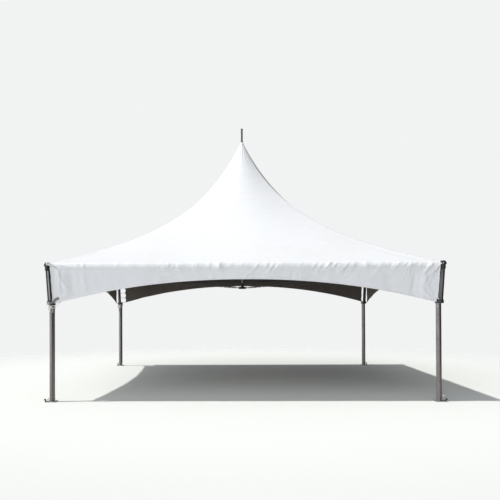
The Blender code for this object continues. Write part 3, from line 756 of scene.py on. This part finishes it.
def reach_of(side, hand, up):
    """Half length of a skirt to the left (-1) or right (1) at a height: shorter below the beam, with bows."""
    deep, count = BOWS.get((side, hand), OTHER_BOWS)
    below = np.clip(BEAM_BOTTOM - up, 0, None)
    bow = deep * np.abs(np.sin(math.pi * count * np.clip((up - BOWS_FROM) / BOWS_TALL, 0, 1)))
    return SKIRT_ENDS[side][(hand + 1) // 2] - END_LEAN * below - bow


def plain_depth(side, up):
    """Distance of a skirt's plain face from the tent's middle: it may lean inwards below the beam."""
    return SKIRT_HALF - SKIRT_LEAN[side] * np.clip(BEAM_BOTTOM - np.asarray(up, float), 0, None)


print("fold normals:", FOLD_NORMAL[0].round(2), FOLD_NORMAL[8].round(2))

# %% Relief of a skirt
SWELLS = ((0.005, 1.7), (0.003, 4.1), (0.0018, 9.3), (0.0016, 17.0), (0.0008, 31.0))
BEAD, BEAD_FROM_END, BEAD_WIDTH = 0.0045, 0.007, 0.006
LEAST_ON_BEAM = -0.002


def skirt_relief(side, seed, across, up, from_end, above_hem):
    """How far the cloth stands out: ridges and slow sines, damped near the ties, then hem and end beads."""
    phases = np.random.default_rng(seed + 100).uniform(0, 6, len(SWELLS))
    swells = sum(size * np.sin(rate * across + phase) for (size, rate), phase in zip(SWELLS, phases))
    out = ridges(across, up, fold_lines(side, seed)) + swells * smoothstep(0.11, 0.30, EAVE_Z - up)
    near_tie = smoothstep(0.02, 0.24, np.hypot(from_end, above_hem))
    out = out * np.minimum(near_tie, 0.3 + 0.7 * smoothstep(0.02, 0.12, from_end))
    out = np.where(up > BEAM_BOTTOM, np.clip(out, LEAST_ON_BEAM, None), out)
    out[-len(HEM):] += HEM[:, 1:]
    bead = BEAD * np.exp(-(((from_end - BEAD_FROM_END) / BEAD_WIDTH) ** 2))
    out += bead * smoothstep(0.02, 0.06, EAVE_Z - up)
    return out * smoothstep(0, 4, np.arange(len(up)))[:, None]


print("swells along a skirt:", len(SWELLS))

# %% Skirts
CORE_SHARE, CORE_COLUMNS, END_COLUMNS = 0.985, 521, 16
HANGING_ROWS = 22
FRONT_LEFT_RISE = 0.016


def skirt_grid(side, seed):
    """Points and cloth map of one skirt, in the front side's place: the profile above the beam's lower
    edge, then rows shared out down to the hem, all pushed along their own normal by the relief."""
    core = np.linspace(-CORE_SHARE, CORE_SHARE, CORE_COLUMNS)
    end = np.linspace(CORE_SHARE, 1.0, END_COLUMNS + 1)[1:]
    share = np.concatenate([-end[::-1], core, end])
    arch = hem_height(side, share)
    if side == "front":
        arch = arch + FRONT_LEFT_RISE * smoothstep(0.986, 1.0, -share)
    top = np.repeat(FOLD_PROFILE[:, 1:], len(share), axis=1)
    way = np.linspace(0, 1, HANGING_ROWS + 2)[1:-1, None]
    hanging = FOLD_PROFILE[-1, 1] * (1 - way) + (arch + HEM[0, 0])[None, :] * way
    up = np.concatenate([top, hanging, arch[None, :] + HEM[:, :1]])
    depth = plain_depth(side, up)
    depth[:len(top)] = FOLD_PROFILE[:, :1]
    reach = np.where(share < 0, reach_of(side, -1, up), reach_of(side, 1, up))
    across = share[None, :] * reach
    out = skirt_relief(side, seed, across, up, reach - np.abs(across), up - arch)
    level = np.tile([1.0, 0.0], (len(up) - len(top), 1))
    normal = np.concatenate([FOLD_NORMAL, level])[:, None, :]
    grid = np.stack([across, -(depth + out * normal[..., 0]), up + out * normal[..., 1]], axis=-1)
    return grid, np.stack([across, EAVE_Z - up], axis=-1)


skirts = {}
for seed, (side, degrees) in enumerate(SIDES.items(), start=11):
    grid, cut = skirt_grid(side, seed)
    skirt = new_sheet(f"skirt_{side}", [turned_about_z(grid, degrees)], [cut], sharp=70)
    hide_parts(f"valance_{side}")
    flat = (round(float(np.ptp(grid[..., 0])), 3), round(float(gone_along(grid[:, 0])[-1]), 3))
    skirts[side] = (skirt, flat, sum(p.area for p in skirt.data.polygons))
    outward = Vector(out_of(side))
    facing_out = float(np.mean([outward.dot(p.normal) for p in skirt.data.polygons]))
    print(side, "cut:", flat, "area:", round(skirts[side][2], 3), "facing out:", round(facing_out, 2))

# %% [markdown]
# ## Cloth facts
#
# The roof is cut from four panels and each skirt from one strip. The flat sizes printed with each
# skirt above are the rectangles that its cut fits in, and the areas are the cut cloth's own.

print("sheets declared:", 1 + len(skirts))

# %% [markdown]
# ## Ropes, straps and bolts
#
# Ropes and straps are a section carried along a path: at each point of the path the section is laid
# square to it. A rope's section swells at three strands, and turns as it goes. Bolts and rings are
# a profile turned about an axis.

# %% Carried shapes
UPWARD = np.array([0.0, 0.0, 1.0])
STRAND_TURN = 6.5
ROPE_SIDES, BAND_SIDES = 15, 24


def carried(profile, path, across, closed=False):
    """A closed profile carried along a path, its first axis along the part of across that is square to
    the path. An open path gets a pole at each end, so that the tube is a closed body."""
    path = np.asarray(path, float)
    steps = np.roll(path, -1, axis=0) - np.roll(path, 1, axis=0) if closed else np.gradient(path, axis=0)
    along = unit(steps)
    across = np.broadcast_to(across, path.shape)
    first = unit(across - np.sum(across * along, axis=1, keepdims=True) * along)
    second = np.cross(along, first)
    profile = np.broadcast_to(profile, (len(path), *np.shape(profile)[-2:]))
    rows = path[:, None] + profile[..., :1] * first[:, None] + profile[..., 1:] * second[:, None]
    rows = np.concatenate([rows, rows[:, :1]], axis=1)
    if closed:
        return np.concatenate([rows, rows[:1]])
    first_pole, last_pole = (np.repeat(path[end][None, None], rows.shape[1], axis=1) for end in (0, -1))
    return np.concatenate([first_pole, rows, last_pole])


def rope(path, radius, across, closed=False):
    """A three-strand rope: the radius is greatest at three strands, which turn once every 6.5 radii."""
    gone = gone_along(path)[:, None]
    whole = gone[-1, 0] + (np.linalg.norm(path[0] - path[-1]) if closed else 0.0)
    turns = max(1, round(whole / (STRAND_TURN * radius)))
    angle = np.linspace(0, 2 * math.pi, ROPE_SIDES, endpoint=False)[None, :]
    swell = radius * (0.78 + 0.22 * np.abs(np.cos(1.5 * (angle - 2 * math.pi * turns * gone / whole))))
    return carried(swell[..., None] * circle(ROPE_SIDES), path, across, closed)


def band_profile(width, thickness):
    """A flat band's section, thickness first: a circle squared off by powers of its cosine and sine."""
    return signed_power(circle(BAND_SIDES), (0.5, 0.3)) * (thickness / 2, width / 2)


print("carried shapes ready")

# %% Turned shapes
def turned(profile, centre, axis, columns=24, sides=0):
    """A profile of (radius, height) turned about a level axis; with sides, the round is cut to a polygon."""
    profile, axis = np.asarray(profile, float), unit(axis)
    first = unit(np.cross(UPWARD, axis))
    angle = np.linspace(0, 2 * math.pi, columns + 1)
    spokes = np.cos(angle)[:, None] * first + np.sin(angle)[:, None] * np.cross(axis, first)
    if sides:
        part = 2 * math.pi / sides
        spokes *= (np.cos(part / 2) / np.cos(angle % part - part / 2))[:, None]
    return np.asarray(centre) + profile[:, :1, None] * spokes[None] + profile[:, 1:, None] * axis


WASHER = np.array([(0, 0), (1.45, 0), (1.5, 0.05), (1.5, 0.16), (1.45, 0.2), (0, 0.2)])
HEXAGON = np.array([(0, 0.18), (0.96, 0.18), (1.0, 0.24), (1.0, 0.72), (0.92, 0.82), (0, 0.84)])


def bolt(centre, axis, radius):
    """A hexagon head on a washer, its height a share of the radius."""
    return [turned(WASHER * radius, centre, axis), turned(HEXAGON * radius, centre, axis, sides=6)]


print("turned shapes ready")

# %% [markdown]
# Rope, webbing and cord need their own finishes: laid fibres with a little grey soiling, a woven
# band whose weave follows its UV map, and a dark cord.

# %% Finishes of ropes and straps
WEBBING_THREADS = 450.0


def fibre_finish(name, clean, soiled, roughness, weave=0.0):
    """Fine fibres as noise; with weave, the scrim group adds a woven height in the piece's own map."""
    material, tree, shader, place = new_finish(name, roughness, specular=0.25)
    dirt = use_group(tree, soiling, Vector=place["Object"], Scale=16.0, Cover=0.5)
    feed(shader, "Base Color", blend(tree, dirt, clean, soiled))
    height = noise(tree, place["Object"], 900.0, 3.0)
    if weave:
        net = use_group(tree, scrim, Vector=place["UV"], Threads_per_metre=weave)
        height = maths(tree, "MULTIPLY_ADD", net, 2.5, height)
    lift(tree, shader, height, 0.5, 0.0008)
    return material


white_rope = fibre_finish("white rope", (0.87, 0.86, 0.83), (0.70, 0.68, 0.64), 0.75)
dark_cord = fibre_finish("dark cord", (0.050, 0.048, 0.050), (0.085, 0.080, 0.078), 0.7)
white_webbing = fibre_finish("white webbing", (0.82, 0.825, 0.82), (0.70, 0.70, 0.68), 0.6, WEBBING_THREADS)
grey_webbing = fibre_finish("grey webbing", (0.30, 0.30, 0.31), (0.23, 0.23, 0.235), 0.65, WEBBING_THREADS)
print("fibre finishes made")

# %% [markdown]
# ## Lower corners
#
# Each skirt's lower corner is pulled down to the collar. At the front left a grey strap is sewn to
# both skirts and meets at a buckle on the collar, and a white rope is wound on the leg below it,
# crossed and knotted. At the back left a rope takes the strap's place, with a long loop and a tail.
# The right side is tied with thin dark cord. Paths are given in a corner's own directions: outward,
# tangent and up. TIES lists how far in from the skirt's end and how far above its hem a tie starts,
# how far it lies off the collar, and the step between its points.

# %% Ties from the skirts' corners to the collar
TIES = {
    "front_left": (0.108, 0.072, 0.0050, 0.0040), "front_right": (0.020, 0.036, 0.0045, 0.0030),
    "back_right": (0.020, 0.036, 0.0045, 0.0030), "back_left": (0.050, 0.075, 0.0055, 0.0035),
}
TIE_SHARE = 0.97
TIE_UP, TIE_IN = np.array([1.0, 0.62, 0.14]), np.array([1.0, 0.42, 0.17])
STRAP_Z = np.mean(COLLAR_Z) - 0.008
NEAR = 0.024


def on_skirt(side, across, up, off):
    """Points on a skirt's plain face in the tent's frame, this far outside it."""
    level = -plain_depth(side, up) - off
    return turned_about_z(np.stack(np.broadcast_arrays(across, level, up), axis=-1), SIDES[side])


def standing_out(side, across, up):
    """The most that a skirt's relief stands out of its plain face near each of these points."""
    mesh = skirts[side][0].data
    co = np.empty(3 * len(mesh.vertices))
    mesh.vertices.foreach_get("co", co)
    x, y, z = turned_about_z(co.reshape(-1, 3), -SIDES[side]).T
    apart = np.hypot(x - np.c_[across], z - np.c_[up])
    return np.where(apart < NEAR, -y - plain_depth(side, z), -1.0).max(axis=1)


def ties(corner):
    """Two smooth paths, each with the way its flat side faces: over the cloth's corner and its hem, round
    the collar's edge, to the middle of the collar's outward face. The first is on the tangent's side."""
    degrees, (inset, rise, off, step) = CORNERS[corner], TIES[corner]
    made = []
    for way, (side, hand) in zip((1, -1), CORNER_ENDS[corner]):
        up = hem_height(side, TIE_SHARE) + rise * TIE_UP
        across = hand * (reach_of(side, hand, up) - inset * TIE_IN)
        cloth = on_skirt(side, across, up, standing_out(side, across, up) + 0.4 * off)
        d, t = COLLAR_D[1] + off, COLLAR_T + off
        collar = [(d - 0.006, way * t, STRAP_Z + 0.004), (d, way * (t - 0.010), STRAP_Z), (d, 0.0, STRAP_Z)]
        ways = turned_about_z([(0.7, way * 0.7, 0.0), (1.0, way * 0.25, 0.0), (1.0, 0.0, 0.0)], degrees)
        points = np.concatenate([cloth, at_corner(collar, degrees)])
        ways = unit(np.concatenate([np.tile(out_of(side), (3, 1)), ways]))
        both = smooth_path(np.concatenate([points, ways], axis=1), step)
        made.append((both[:, :3], both[:, 3:]))
    return made


grey_ties = ties("front_left")
print("strap length each half:", round(float(gone_along(grey_ties[0][0])[-1]), 3))

# %% Grey strap and its buckle
BUCKLE_HALF, BUCKLE_WIRE, BUCKLE_OFF = (0.017, 0.023), 0.0026, 0.0075


def buckle(degrees, z):
    """A rounded wire frame with a cross bar, on the collar's outward face."""
    d, tall = COLLAR_D[1] + BUCKLE_OFF, BUCKLE_HALF[1]
    rounded = np.insert(signed_power(circle(48), 0.4) * BUCKLE_HALF + (0.0, z), 0, d, axis=1)
    bar = np.linspace((d, 0.0, z - tall), (d, 0.0, z + tall), 9)
    section, out = BUCKLE_WIRE * circle(12), out_of_corner(degrees)
    paths = ((rounded, True), (bar, False))
    return [carried(section, at_corner(path, degrees), out, closed) for path, closed in paths]


grey_bands = [carried(band_profile(0.042, 0.0024), path, way) for path, way in grey_ties]
new_piece("collar_strap_front_left", grey_bands, [grey_webbing])
buckle_wires = buckle(CORNERS["front_left"], STRAP_Z)
new_piece("collar_buckle_front_left", buckle_wires, [zinc])
print("strap and buckle:", len(grey_bands), "bands,", len(buckle_wires), "wires")

# %% Rope wound round a corner
ROPE_STEP = 0.0035
TAIL_R = 0.0048
ROUND_POINTS, LOOP_POINTS, KNOT_POINTS = 361, 121, 72


def winding(degrees, half, middle, z, rise, cross_at):
    """A closed loop round a square tube: a rounded square in plan, whose height is a sine of the angle
    from where two such loops cross."""
    angle = np.linspace(0, 2 * math.pi, ROUND_POINTS)
    d, t = (size * signed_power(wave(angle), 0.4) for size, wave in zip(half, (np.cos, np.sin)))
    points = np.stack([middle + d, t, z + rise * np.sin(angle - math.radians(cross_at))], axis=-1)
    return at_corner(evened(points, ROPE_STEP)[:-1], degrees)


def hanging_loop(degrees, at, reach, z, wide, tall):
    """A closed loop that hangs from a knot: narrow at the top, round below, in a plane facing outwards
    at this angle of the corner."""
    angle = np.linspace(0, 2 * math.pi, LOOP_POINTS)
    drop = (1 - np.cos(angle)) / 2
    width = wide * np.sin(angle) * (0.35 + 0.65 * drop)
    points = turned_about_z(np.stack([np.full(LOOP_POINTS, reach), width, z - tall * drop], axis=-1), at)
    return at_corner(evened(points, ROPE_STEP)[:-1], degrees)


def knot(degrees, at, reach, z, size, radius):
    """A rope laid as a trefoil, at this angle of the corner: three lobes whose path passes over and
    under itself."""
    t = np.linspace(0, 2 * math.pi, KNOT_POINTS, endpoint=False)
    flat, rise = (np.sin(t) + 2 * np.sin(2 * t)) / 3, (np.cos(t) - 2 * np.cos(2 * t)) / 3
    points = np.stack([reach - 0.36 * size * np.sin(3 * t), size * flat, z + size * rise], axis=-1)
    path = at_corner(turned_about_z(points, at), degrees)
    return rope(path, radius, out_of_corner(degrees, at), closed=True)


def tail(degrees, at, points):
    """A short free end of rope, from a few points of the corner's own frame."""
    return rope(at_corner(smooth_path(points, ROPE_STEP), degrees), TAIL_R, out_of_corner(degrees, at))


print("winding functions ready")

# %% [markdown]
# A winding's half sizes are those of what it lies on plus the rope's own radius. Two windings that
# rise and fall by the same amount, one the mirror of the other, cross on two opposite sides.

# %% White rope at the left corners
ROPE_R = 0.0060
TIE_R = 0.0046
ON_LEG = (LEG_SIDE_HALF + ROPE_R + 0.0006,) * 2
HEM_EYELET = -2.862


def windings(degrees, cross_at):
    """Two turns on the leg under the collar that cross at this angle, and a level turn below them."""
    turns = ((1.476, 0.030), (1.476, -0.030), (1.458, 0.003))
    paths = [winding(degrees, ON_LEG, 0.0, z, rise, cross_at) for z, rise in turns]
    return [rope(path, ROPE_R, UPWARD, closed=True) for path in paths]


degrees = CORNERS["front_left"]
loop = hanging_loop(degrees, 14.0, 0.0620, 1.474, 0.0290, 0.066)
start = on_skirt("front", HEM_EYELET, 1.568, 0.006)
end = at_corner([(-0.020, 0.0405, 1.482), (0.004, 0.0420, 1.478)], degrees)
hem_tie = smooth_path([start, (-2.880, -3.036, 1.532), (-2.912, -3.024, 1.496), *end], ROPE_STEP)
ropes = windings(degrees, 45.0) + [
    knot(degrees, 40.0, 0.0560, 1.476, 0.0120, 0.0050),
    rope(loop, 0.0056, out_of_corner(degrees, 30.0), closed=True),
    tail(degrees, 75.0, [
        (0.030, 0.048, 1.470), (0.020, 0.050, 1.445), (0.014, 0.044, 1.415), (0.014, 0.042, 1.385),
    ]),
    tail(degrees, 0.0, [(0.050, 0.000, 1.496), (0.062, -0.012, 1.480), (0.056, -0.026, 1.455)]),
    rope(hem_tie, TIE_R, out_of("front")),
]
new_piece("corner_rope_front_left", ropes, [white_rope])

degrees = CORNERS["back_left"]
loop = hanging_loop(degrees, 50.0, 0.0640, 1.540, 0.0230, 0.120)
ropes = windings(degrees, 60.0) + [
    knot(degrees, 50.0, 0.0560, 1.476, 0.0120, 0.0050),
    rope(loop, 0.0050, out_of_corner(degrees, 50.0), closed=True),
    tail(degrees, 60.0, [
        (0.034, 0.050, 1.470), (0.030, 0.050, 1.420), (0.008, 0.044, 1.340), (-0.014, 0.039, 1.230),
    ]),
    *(rope(path, TIE_R, way) for path, way in ties("back_left")),
]
new_piece("corner_rope_back_left", ropes, [white_rope])
print("ropes at the back left:", len(ropes))

# %% Dark cord at the right corners
CORD_R = 0.0028
COLLAR_MIDDLE = (COLLAR_D[0] + COLLAR_D[1]) / 2
ON_COLLAR = (COLLAR_D[1] - COLLAR_MIDDLE + 0.0039, COLLAR_T + 0.0039)
CORD_TURNS = ((1.540, 0.005), (1.528, -0.006))

for corner in ("front_right", "back_right"):
    degrees = CORNERS[corner]
    turns = [winding(degrees, ON_COLLAR, COLLAR_MIDDLE, z, rise, 90.0) for z, rise in CORD_TURNS]
    cords = [rope(path, CORD_R, UPWARD, closed=True) for path in turns]
    cords += [rope(path, CORD_R, way) for path, way in ties(corner)]
    cords.append(knot(degrees, -75.0, 0.0515, 1.539, 0.009, 0.0026))
    new_piece(f"corner_cord_{corner}", cords, [dark_cord])
print("cords at each right corner:", len(cords))

# %% [markdown]
# ## Upper corners
#
# A white strap is sewn to each end of a skirt's fold and runs round the cap of the corner fitting,
# where a bolt holds it. At the front right the strap starts lower on the skirt and ends under a
# black ring with a bright bolt, as the picture shows. The path lies just outside the fold's bulge,
# then follows a circle round the cap. A kind of strap is its width, its points on the skirt, its
# angles round the cap, its height there and its twist.

# %% Eave straps
STRAP_OFF = 0.0028
LEVEL_START = [
    (2.905, -3.0740, 2.084), (2.935, -3.0765, 2.090), (2.965, -3.0800, 2.106), (2.995, -3.0860, 2.126),
]
LOW_START = [
    (2.898, -3.0650, 1.990), (2.926, -3.0770, 2.026), (2.958, -3.0860, 2.068), (2.992, -3.0930, 2.108),
]
LEVEL_STRAP = (0.040, LEVEL_START, (-125, -105, -88, -72), 2.139, 0.0)
RINGED_STRAP = (0.025, LOW_START, (-118, -109, -100), 2.124, 0.5)


def eave_strap(side, hand, sewn, cap_angles, cap_z, twist):
    """The path of a strap and the way its flat side faces: out of the side, turning upwards with twist,
    then away from the cap. It is worked out at the front's right end."""
    angles = np.radians(cap_angles)
    ring = np.stack([np.cos(angles), np.sin(angles), np.zeros(len(angles))], axis=-1)
    cap = np.array([CAP_HALF, -CAP_HALF, cap_z]) + (CAP_R + STRAP_OFF) * ring
    share = np.linspace(0, 1, len(sewn))[:, None]
    on_cloth = unit(np.array([0.0, -1.0, 0.0]) + share * twist * np.array([-1.0, 0.0, 1.0]))
    points, ways = np.concatenate([sewn, cap]), np.concatenate([on_cloth, ring])
    both = smooth_path(np.concatenate([points, ways], axis=1))
    both[:, [0, 3]] *= hand
    return turned_about_z(both[:, :3], SIDES[side]), turned_about_z(both[:, 3:], SIDES[side])


for corner, ends in CORNER_ENDS.items():
    bands = []
    for side, hand in ends:
        width, *course = RINGED_STRAP if (corner, side) == ("front_right", "front") else LEVEL_STRAP
        bands.append(carried(band_profile(width, 0.0020), *eave_strap(side, hand, *course)))
    new_piece(f"eave_strap_{corner}", bands, [white_webbing])
print("eave straps:", len(CORNER_ENDS))

# %% Cap bolts and ring
CAP_OUT = (CAP_HALF - LEG_HALF) * math.sqrt(2) + CAP_R + 0.0045
RING = 0.001 * np.array([
    (9, 0), (9, 4.4), (10, 5.4), (21, 5.4), (23.4, 4.8), (24.4, 3.2), (24.4, 0.8), (23.6, 0), (9, 0),
])

for corner, degrees in CORNERS.items():
    head = bolt(at_corner((CAP_OUT, 0.0, 2.124), degrees), out_of_corner(degrees), 0.0140)
    new_piece(f"cap_bolt_{corner}", head, [dark_casting])
way = unit([-0.27, -0.963, 0.0])
centre = np.array([CAP_HALF, -CAP_HALF, 2.126]) + (CAP_R + 0.0042) * way
new_piece("cap_ring_front_right", [turned(RING, centre, way, 40)], [fitting_black])
ring_bolt = bolt(centre - 0.0012 * way, way, 0.0066)
new_piece("cap_ring_bolt_front_right", ring_bolt, [zinc])
print("cap bolts:", len(CORNERS), "ring radius:", float(RING[:, 0].max()))

# %% [markdown]
# ## Posts, lacing and eyelets
#
# On one face of each post a light rail runs from the collar to the cap. The back skirt's left end is
# laced to its post: at each cusp between two bows a loop of thin rope runs from an eyelet in the
# cloth to the post. Eyelets also hold the corner ropes.

# %% Post rails
RAIL_PROFILE = circle(18) * (0.0045, 0.0100)
RAIL_POINTS = 40
RAIL_HAND = {"front_left": 1, "front_right": 1, "back_right": 1, "back_left": -1}


def post_half(z):
    """Distance of a post's middle from the tent's middle planes: it leans outwards evenly."""
    return POST_FOOT_HALF + (POST_TOP_HALF - POST_FOOT_HALF) * (z - COLLAR_Z[1]) / POST_RISE


rails = []
z = np.linspace(1.578, 2.034, RAIL_POINTS)
out = (post_half(z) - LEG_HALF) * math.sqrt(2) + 0.0135
for corner, hand in RAIL_HAND.items():
    line = at_corner(np.stack([out, np.full(RAIL_POINTS, hand * 0.0262), z], axis=-1), CORNERS[corner])
    rails.append(carried(RAIL_PROFILE, line, out_of_corner(CORNERS[corner], hand * 90.0)))
new_piece("post_rails", rails, [rail_metal])
print("rails:", len(rails))

# %% Eyelets and lacing
EYELET = 0.001 * np.array([(5, 0), (5.2, 1.4), (6.6, 2.2), (9.4, 1.6), (11, 0.4), (11, 0), (5, 0)])
LACED = (1.68, 1.80, 1.92)


def eyelet(side, across, up):
    """A small domed ring pressed into the cloth, facing out of the side."""
    return turned(EYELET, on_skirt(side, across, up, 0.0008), out_of(side), 20)


def lacing(side, hand, z):
    """A loop from an eyelet near a skirt's end to the near face of the post: a line there and back,
    opened by a sine."""
    cloth = on_skirt(side, hand * (reach_of(side, hand, z) - 0.010), z, 0.003)
    half = post_half(z)
    post = turned_about_z([hand * (half - 0.032), -half, z - 0.004], SIDES[side])
    angle = np.linspace(0, 2 * math.pi, LOOP_POINTS)[:, None]
    path = cloth + (post - cloth) * (1 - np.cos(angle)) / 2 + UPWARD * 0.0075 * np.sin(angle)
    return rope(evened(path, 0.003)[:-1], CORD_R, out_of(side), closed=True)


new_piece("lacing_back_left", [lacing("back", 1, z) for z in LACED], [white_rope])
rings = [eyelet("back", reach_of("back", 1, z) - 0.016, z) for z in LACED]
rings.append(eyelet("front", HEM_EYELET, 1.556))
for corner in ("front_right", "back_right", "back_left"):
    inset, rise = TIES[corner][:2]
    for side, hand in CORNER_ENDS[corner]:
        up = hem_height(side, TIE_SHARE) + rise
        rings.append(eyelet(side, hand * (reach_of(side, hand, up) - inset), up))
new_piece("eyelets", rings, [zinc])
print("eyelets:", len(rings))

# %% [markdown]
# ## Feet and frame bolts
#
# Each leg is pinned to its base plate by a quick pin with a ball at the outer end and a split ring at
# the inner one. Hexagon bolts hold the beams to the fittings, on their inner faces, and the collars
# to the legs.

# %% Pins
PIN_Z = {"front_left": 0.050, "front_right": 0.088, "back_right": 0.070, "back_left": 0.070}
BALL_R, BALL_AT, NECK_ANGLE = 0.0115, 0.080, 0.42
SPLIT_R, SPLIT_AT, SPLIT_DROP = 0.013, -0.045, 0.0105

ball_angle = np.linspace(NECK_ANGLE, math.pi, 12)
ball = np.stack([BALL_R * np.sin(ball_angle), BALL_AT - BALL_R * np.cos(ball_angle)], axis=-1)
shaft = [(0.0, -0.050), (0.0040, -0.050), (0.0048, -0.048), (0.0048, ball[0, 1])]
PIN = np.concatenate([shaft, ball[1:]])
pins = []
for corner, degrees in CORNERS.items():
    out = out_of_corner(degrees)
    pins.append(turned(PIN, at_corner((0.0, 0.0, PIN_Z[corner]), degrees), out))
    round_ring = SPLIT_R * circle(36)[:, ::-1] + (0.0, PIN_Z[corner] - SPLIT_DROP)
    split_ring = at_corner(np.insert(round_ring, 0, SPLIT_AT, axis=1), degrees)
    pins.append(carried(0.0014 * circle(9), split_ring, out, closed=True))
new_piece("foot_pins", pins, [zinc])
print("pins:", len(CORNERS))

# %% Frame bolts
COLLAR_BOLTS = (
    (COLLAR_D[0], 0.0, 1.538, 180.0), (0.0, LEG_SIDE_HALF, 1.455, 90.0), (0.0, -LEG_SIDE_HALF, 1.455, -90.0),
)
heads = []
for side, degrees in SIDES.items():
    for across in (-2.905, -2.865, 2.865, 2.905):
        heads += bolt(turned_about_z([across, -BEAM_INNER, 2.098], degrees), -out_of(side), 0.0085)
for degrees in CORNERS.values():
    for *place, at in COLLAR_BOLTS:
        heads += bolt(at_corner(place, degrees), out_of_corner(degrees, at), 0.0065)
new_piece("frame_bolts", heads, [zinc])
print("bolts:", len(heads) // 2)

# %% [markdown]
# ## Stage
#
# A pale floor, a key light high on the left and a soft fill. The floor fades out before its edge, so
# that it runs into the backdrop without a line, and it bounces less light than it shows to the
# camera. The camera sees a plain backdrop, while surfaces are lit by a fill that depends on the
# direction: a rise towards the left with a bright panel in it, a broad light from the front left, a
# little from above, and next to nothing from the right and behind.

# %% Floor
FLOOR_R, FLOOR_RINGS, FLOOR_COLUMNS = 16.0, 24, 97
FLOOR_Z = -0.0005
FLOOR_FADE = (5.5, 10.5)


def stage_floor():
    """A disc of rings: radius grows with the ring, angle with the column."""
    ring = np.linspace(0, 1, FLOOR_RINGS)[:, None] ** 1.4 * FLOOR_R
    angle = np.linspace(0, 2 * math.pi, FLOOR_COLUMNS)[None, :]
    level = np.full((FLOOR_RINGS, FLOOR_COLUMNS), FLOOR_Z)
    points = np.stack([ring * np.cos(angle), ring * np.sin(angle), level], axis=-1)
    mesh = bpy.data.meshes.new("floor")
    mesh.from_pydata(points.reshape(-1, 3).tolist(), [], grid_faces(FLOOR_RINGS, FLOOR_COLUMNS).tolist())
    return new_object("floor", mesh)


floor = stage_floor()
floor_pale, tree, shader, place = new_finish("floor pale", 0.9, specular=0.15)
looked_at = add_node(tree, "LightPath").outputs["Is Camera Ray"]
feed(shader, "Base Color", blend(tree, looked_at, (0.70, 0.70, 0.69), (0.90, 0.925, 0.885)))
distance = add_node(tree, "VectorMath", {0: place["Object"]}, operation="LENGTH").outputs["Value"]
feed(shader, "Alpha", ramp(tree, distance, *FLOOR_FADE, 1.0, 0.0))
floor.data.materials.append(floor_pale)
print("floor rings:", FLOOR_RINGS)

# %% Key light
KEY_FROM = Vector((-0.40, -0.045, 0.92))

sun_data = bpy.data.lights.new("key", "SUN")
sun_data.energy = 2.27
sun_data.angle = math.radians(2.0)
sun_data.color = (1.0, 0.985, 0.965)
sun = new_object("key", sun_data)
sun.rotation_mode = "QUATERNION"
sun.rotation_quaternion = KEY_FROM.to_track_quat("Z", "Y")
print("key energy:", sun_data.energy)

# %% Fill and backdrop
PANEL_WAY = (-0.998, -0.02, 0.05)
BROAD_WAY = (-0.36, -0.84, 0.40)
LEAST_FILL = 0.05

world = bpy.data.worlds.new("studio")
world.use_nodes = True
bpy.context.scene.world = world
tree = world.node_tree
tree.nodes.clear()
way = add_node(tree, "TexCoord").outputs["Generated"]
parts = add_node(tree, "SeparateXYZ", {"Vector": way}).outputs
left = ramp(tree, parts["X"], -0.95, 0.35, 1.0, 0.0)
panel = ramp(tree, along_way(tree, way, PANEL_WAY), 0.84, 0.96)
broad = maths(tree, "POWER", maths(tree, "MAXIMUM", along_way(tree, way, BROAD_WAY), 0.0), 6.0)
above = maths(tree, "MAXIMUM", parts["Z"], 0.0)
strength = LEAST_FILL
for light, power in ((left, 0.32), (panel, 1.35), (broad, 2.02), (above, 0.10)):
    strength = maths(tree, "MULTIPLY_ADD", light, power, strength)
seen = add_node(tree, "LightPath").outputs["Is Camera Ray"]
fill = add_node(tree, "Background", {"Color": (0.935, 0.957, 1.0, 1.0), "Strength": strength}).outputs[0]
backdrop = add_node(tree, "Background", {"Color": (0.885, 0.89, 0.895, 1.0), "Strength": 1.0}).outputs[0]
mixed = add_node(tree, "MixShader", {0: seen, 1: fill, 2: backdrop}).outputs[0]
add_node(tree, "OutputWorld", {"Surface": mixed})
print("world:", world.name)
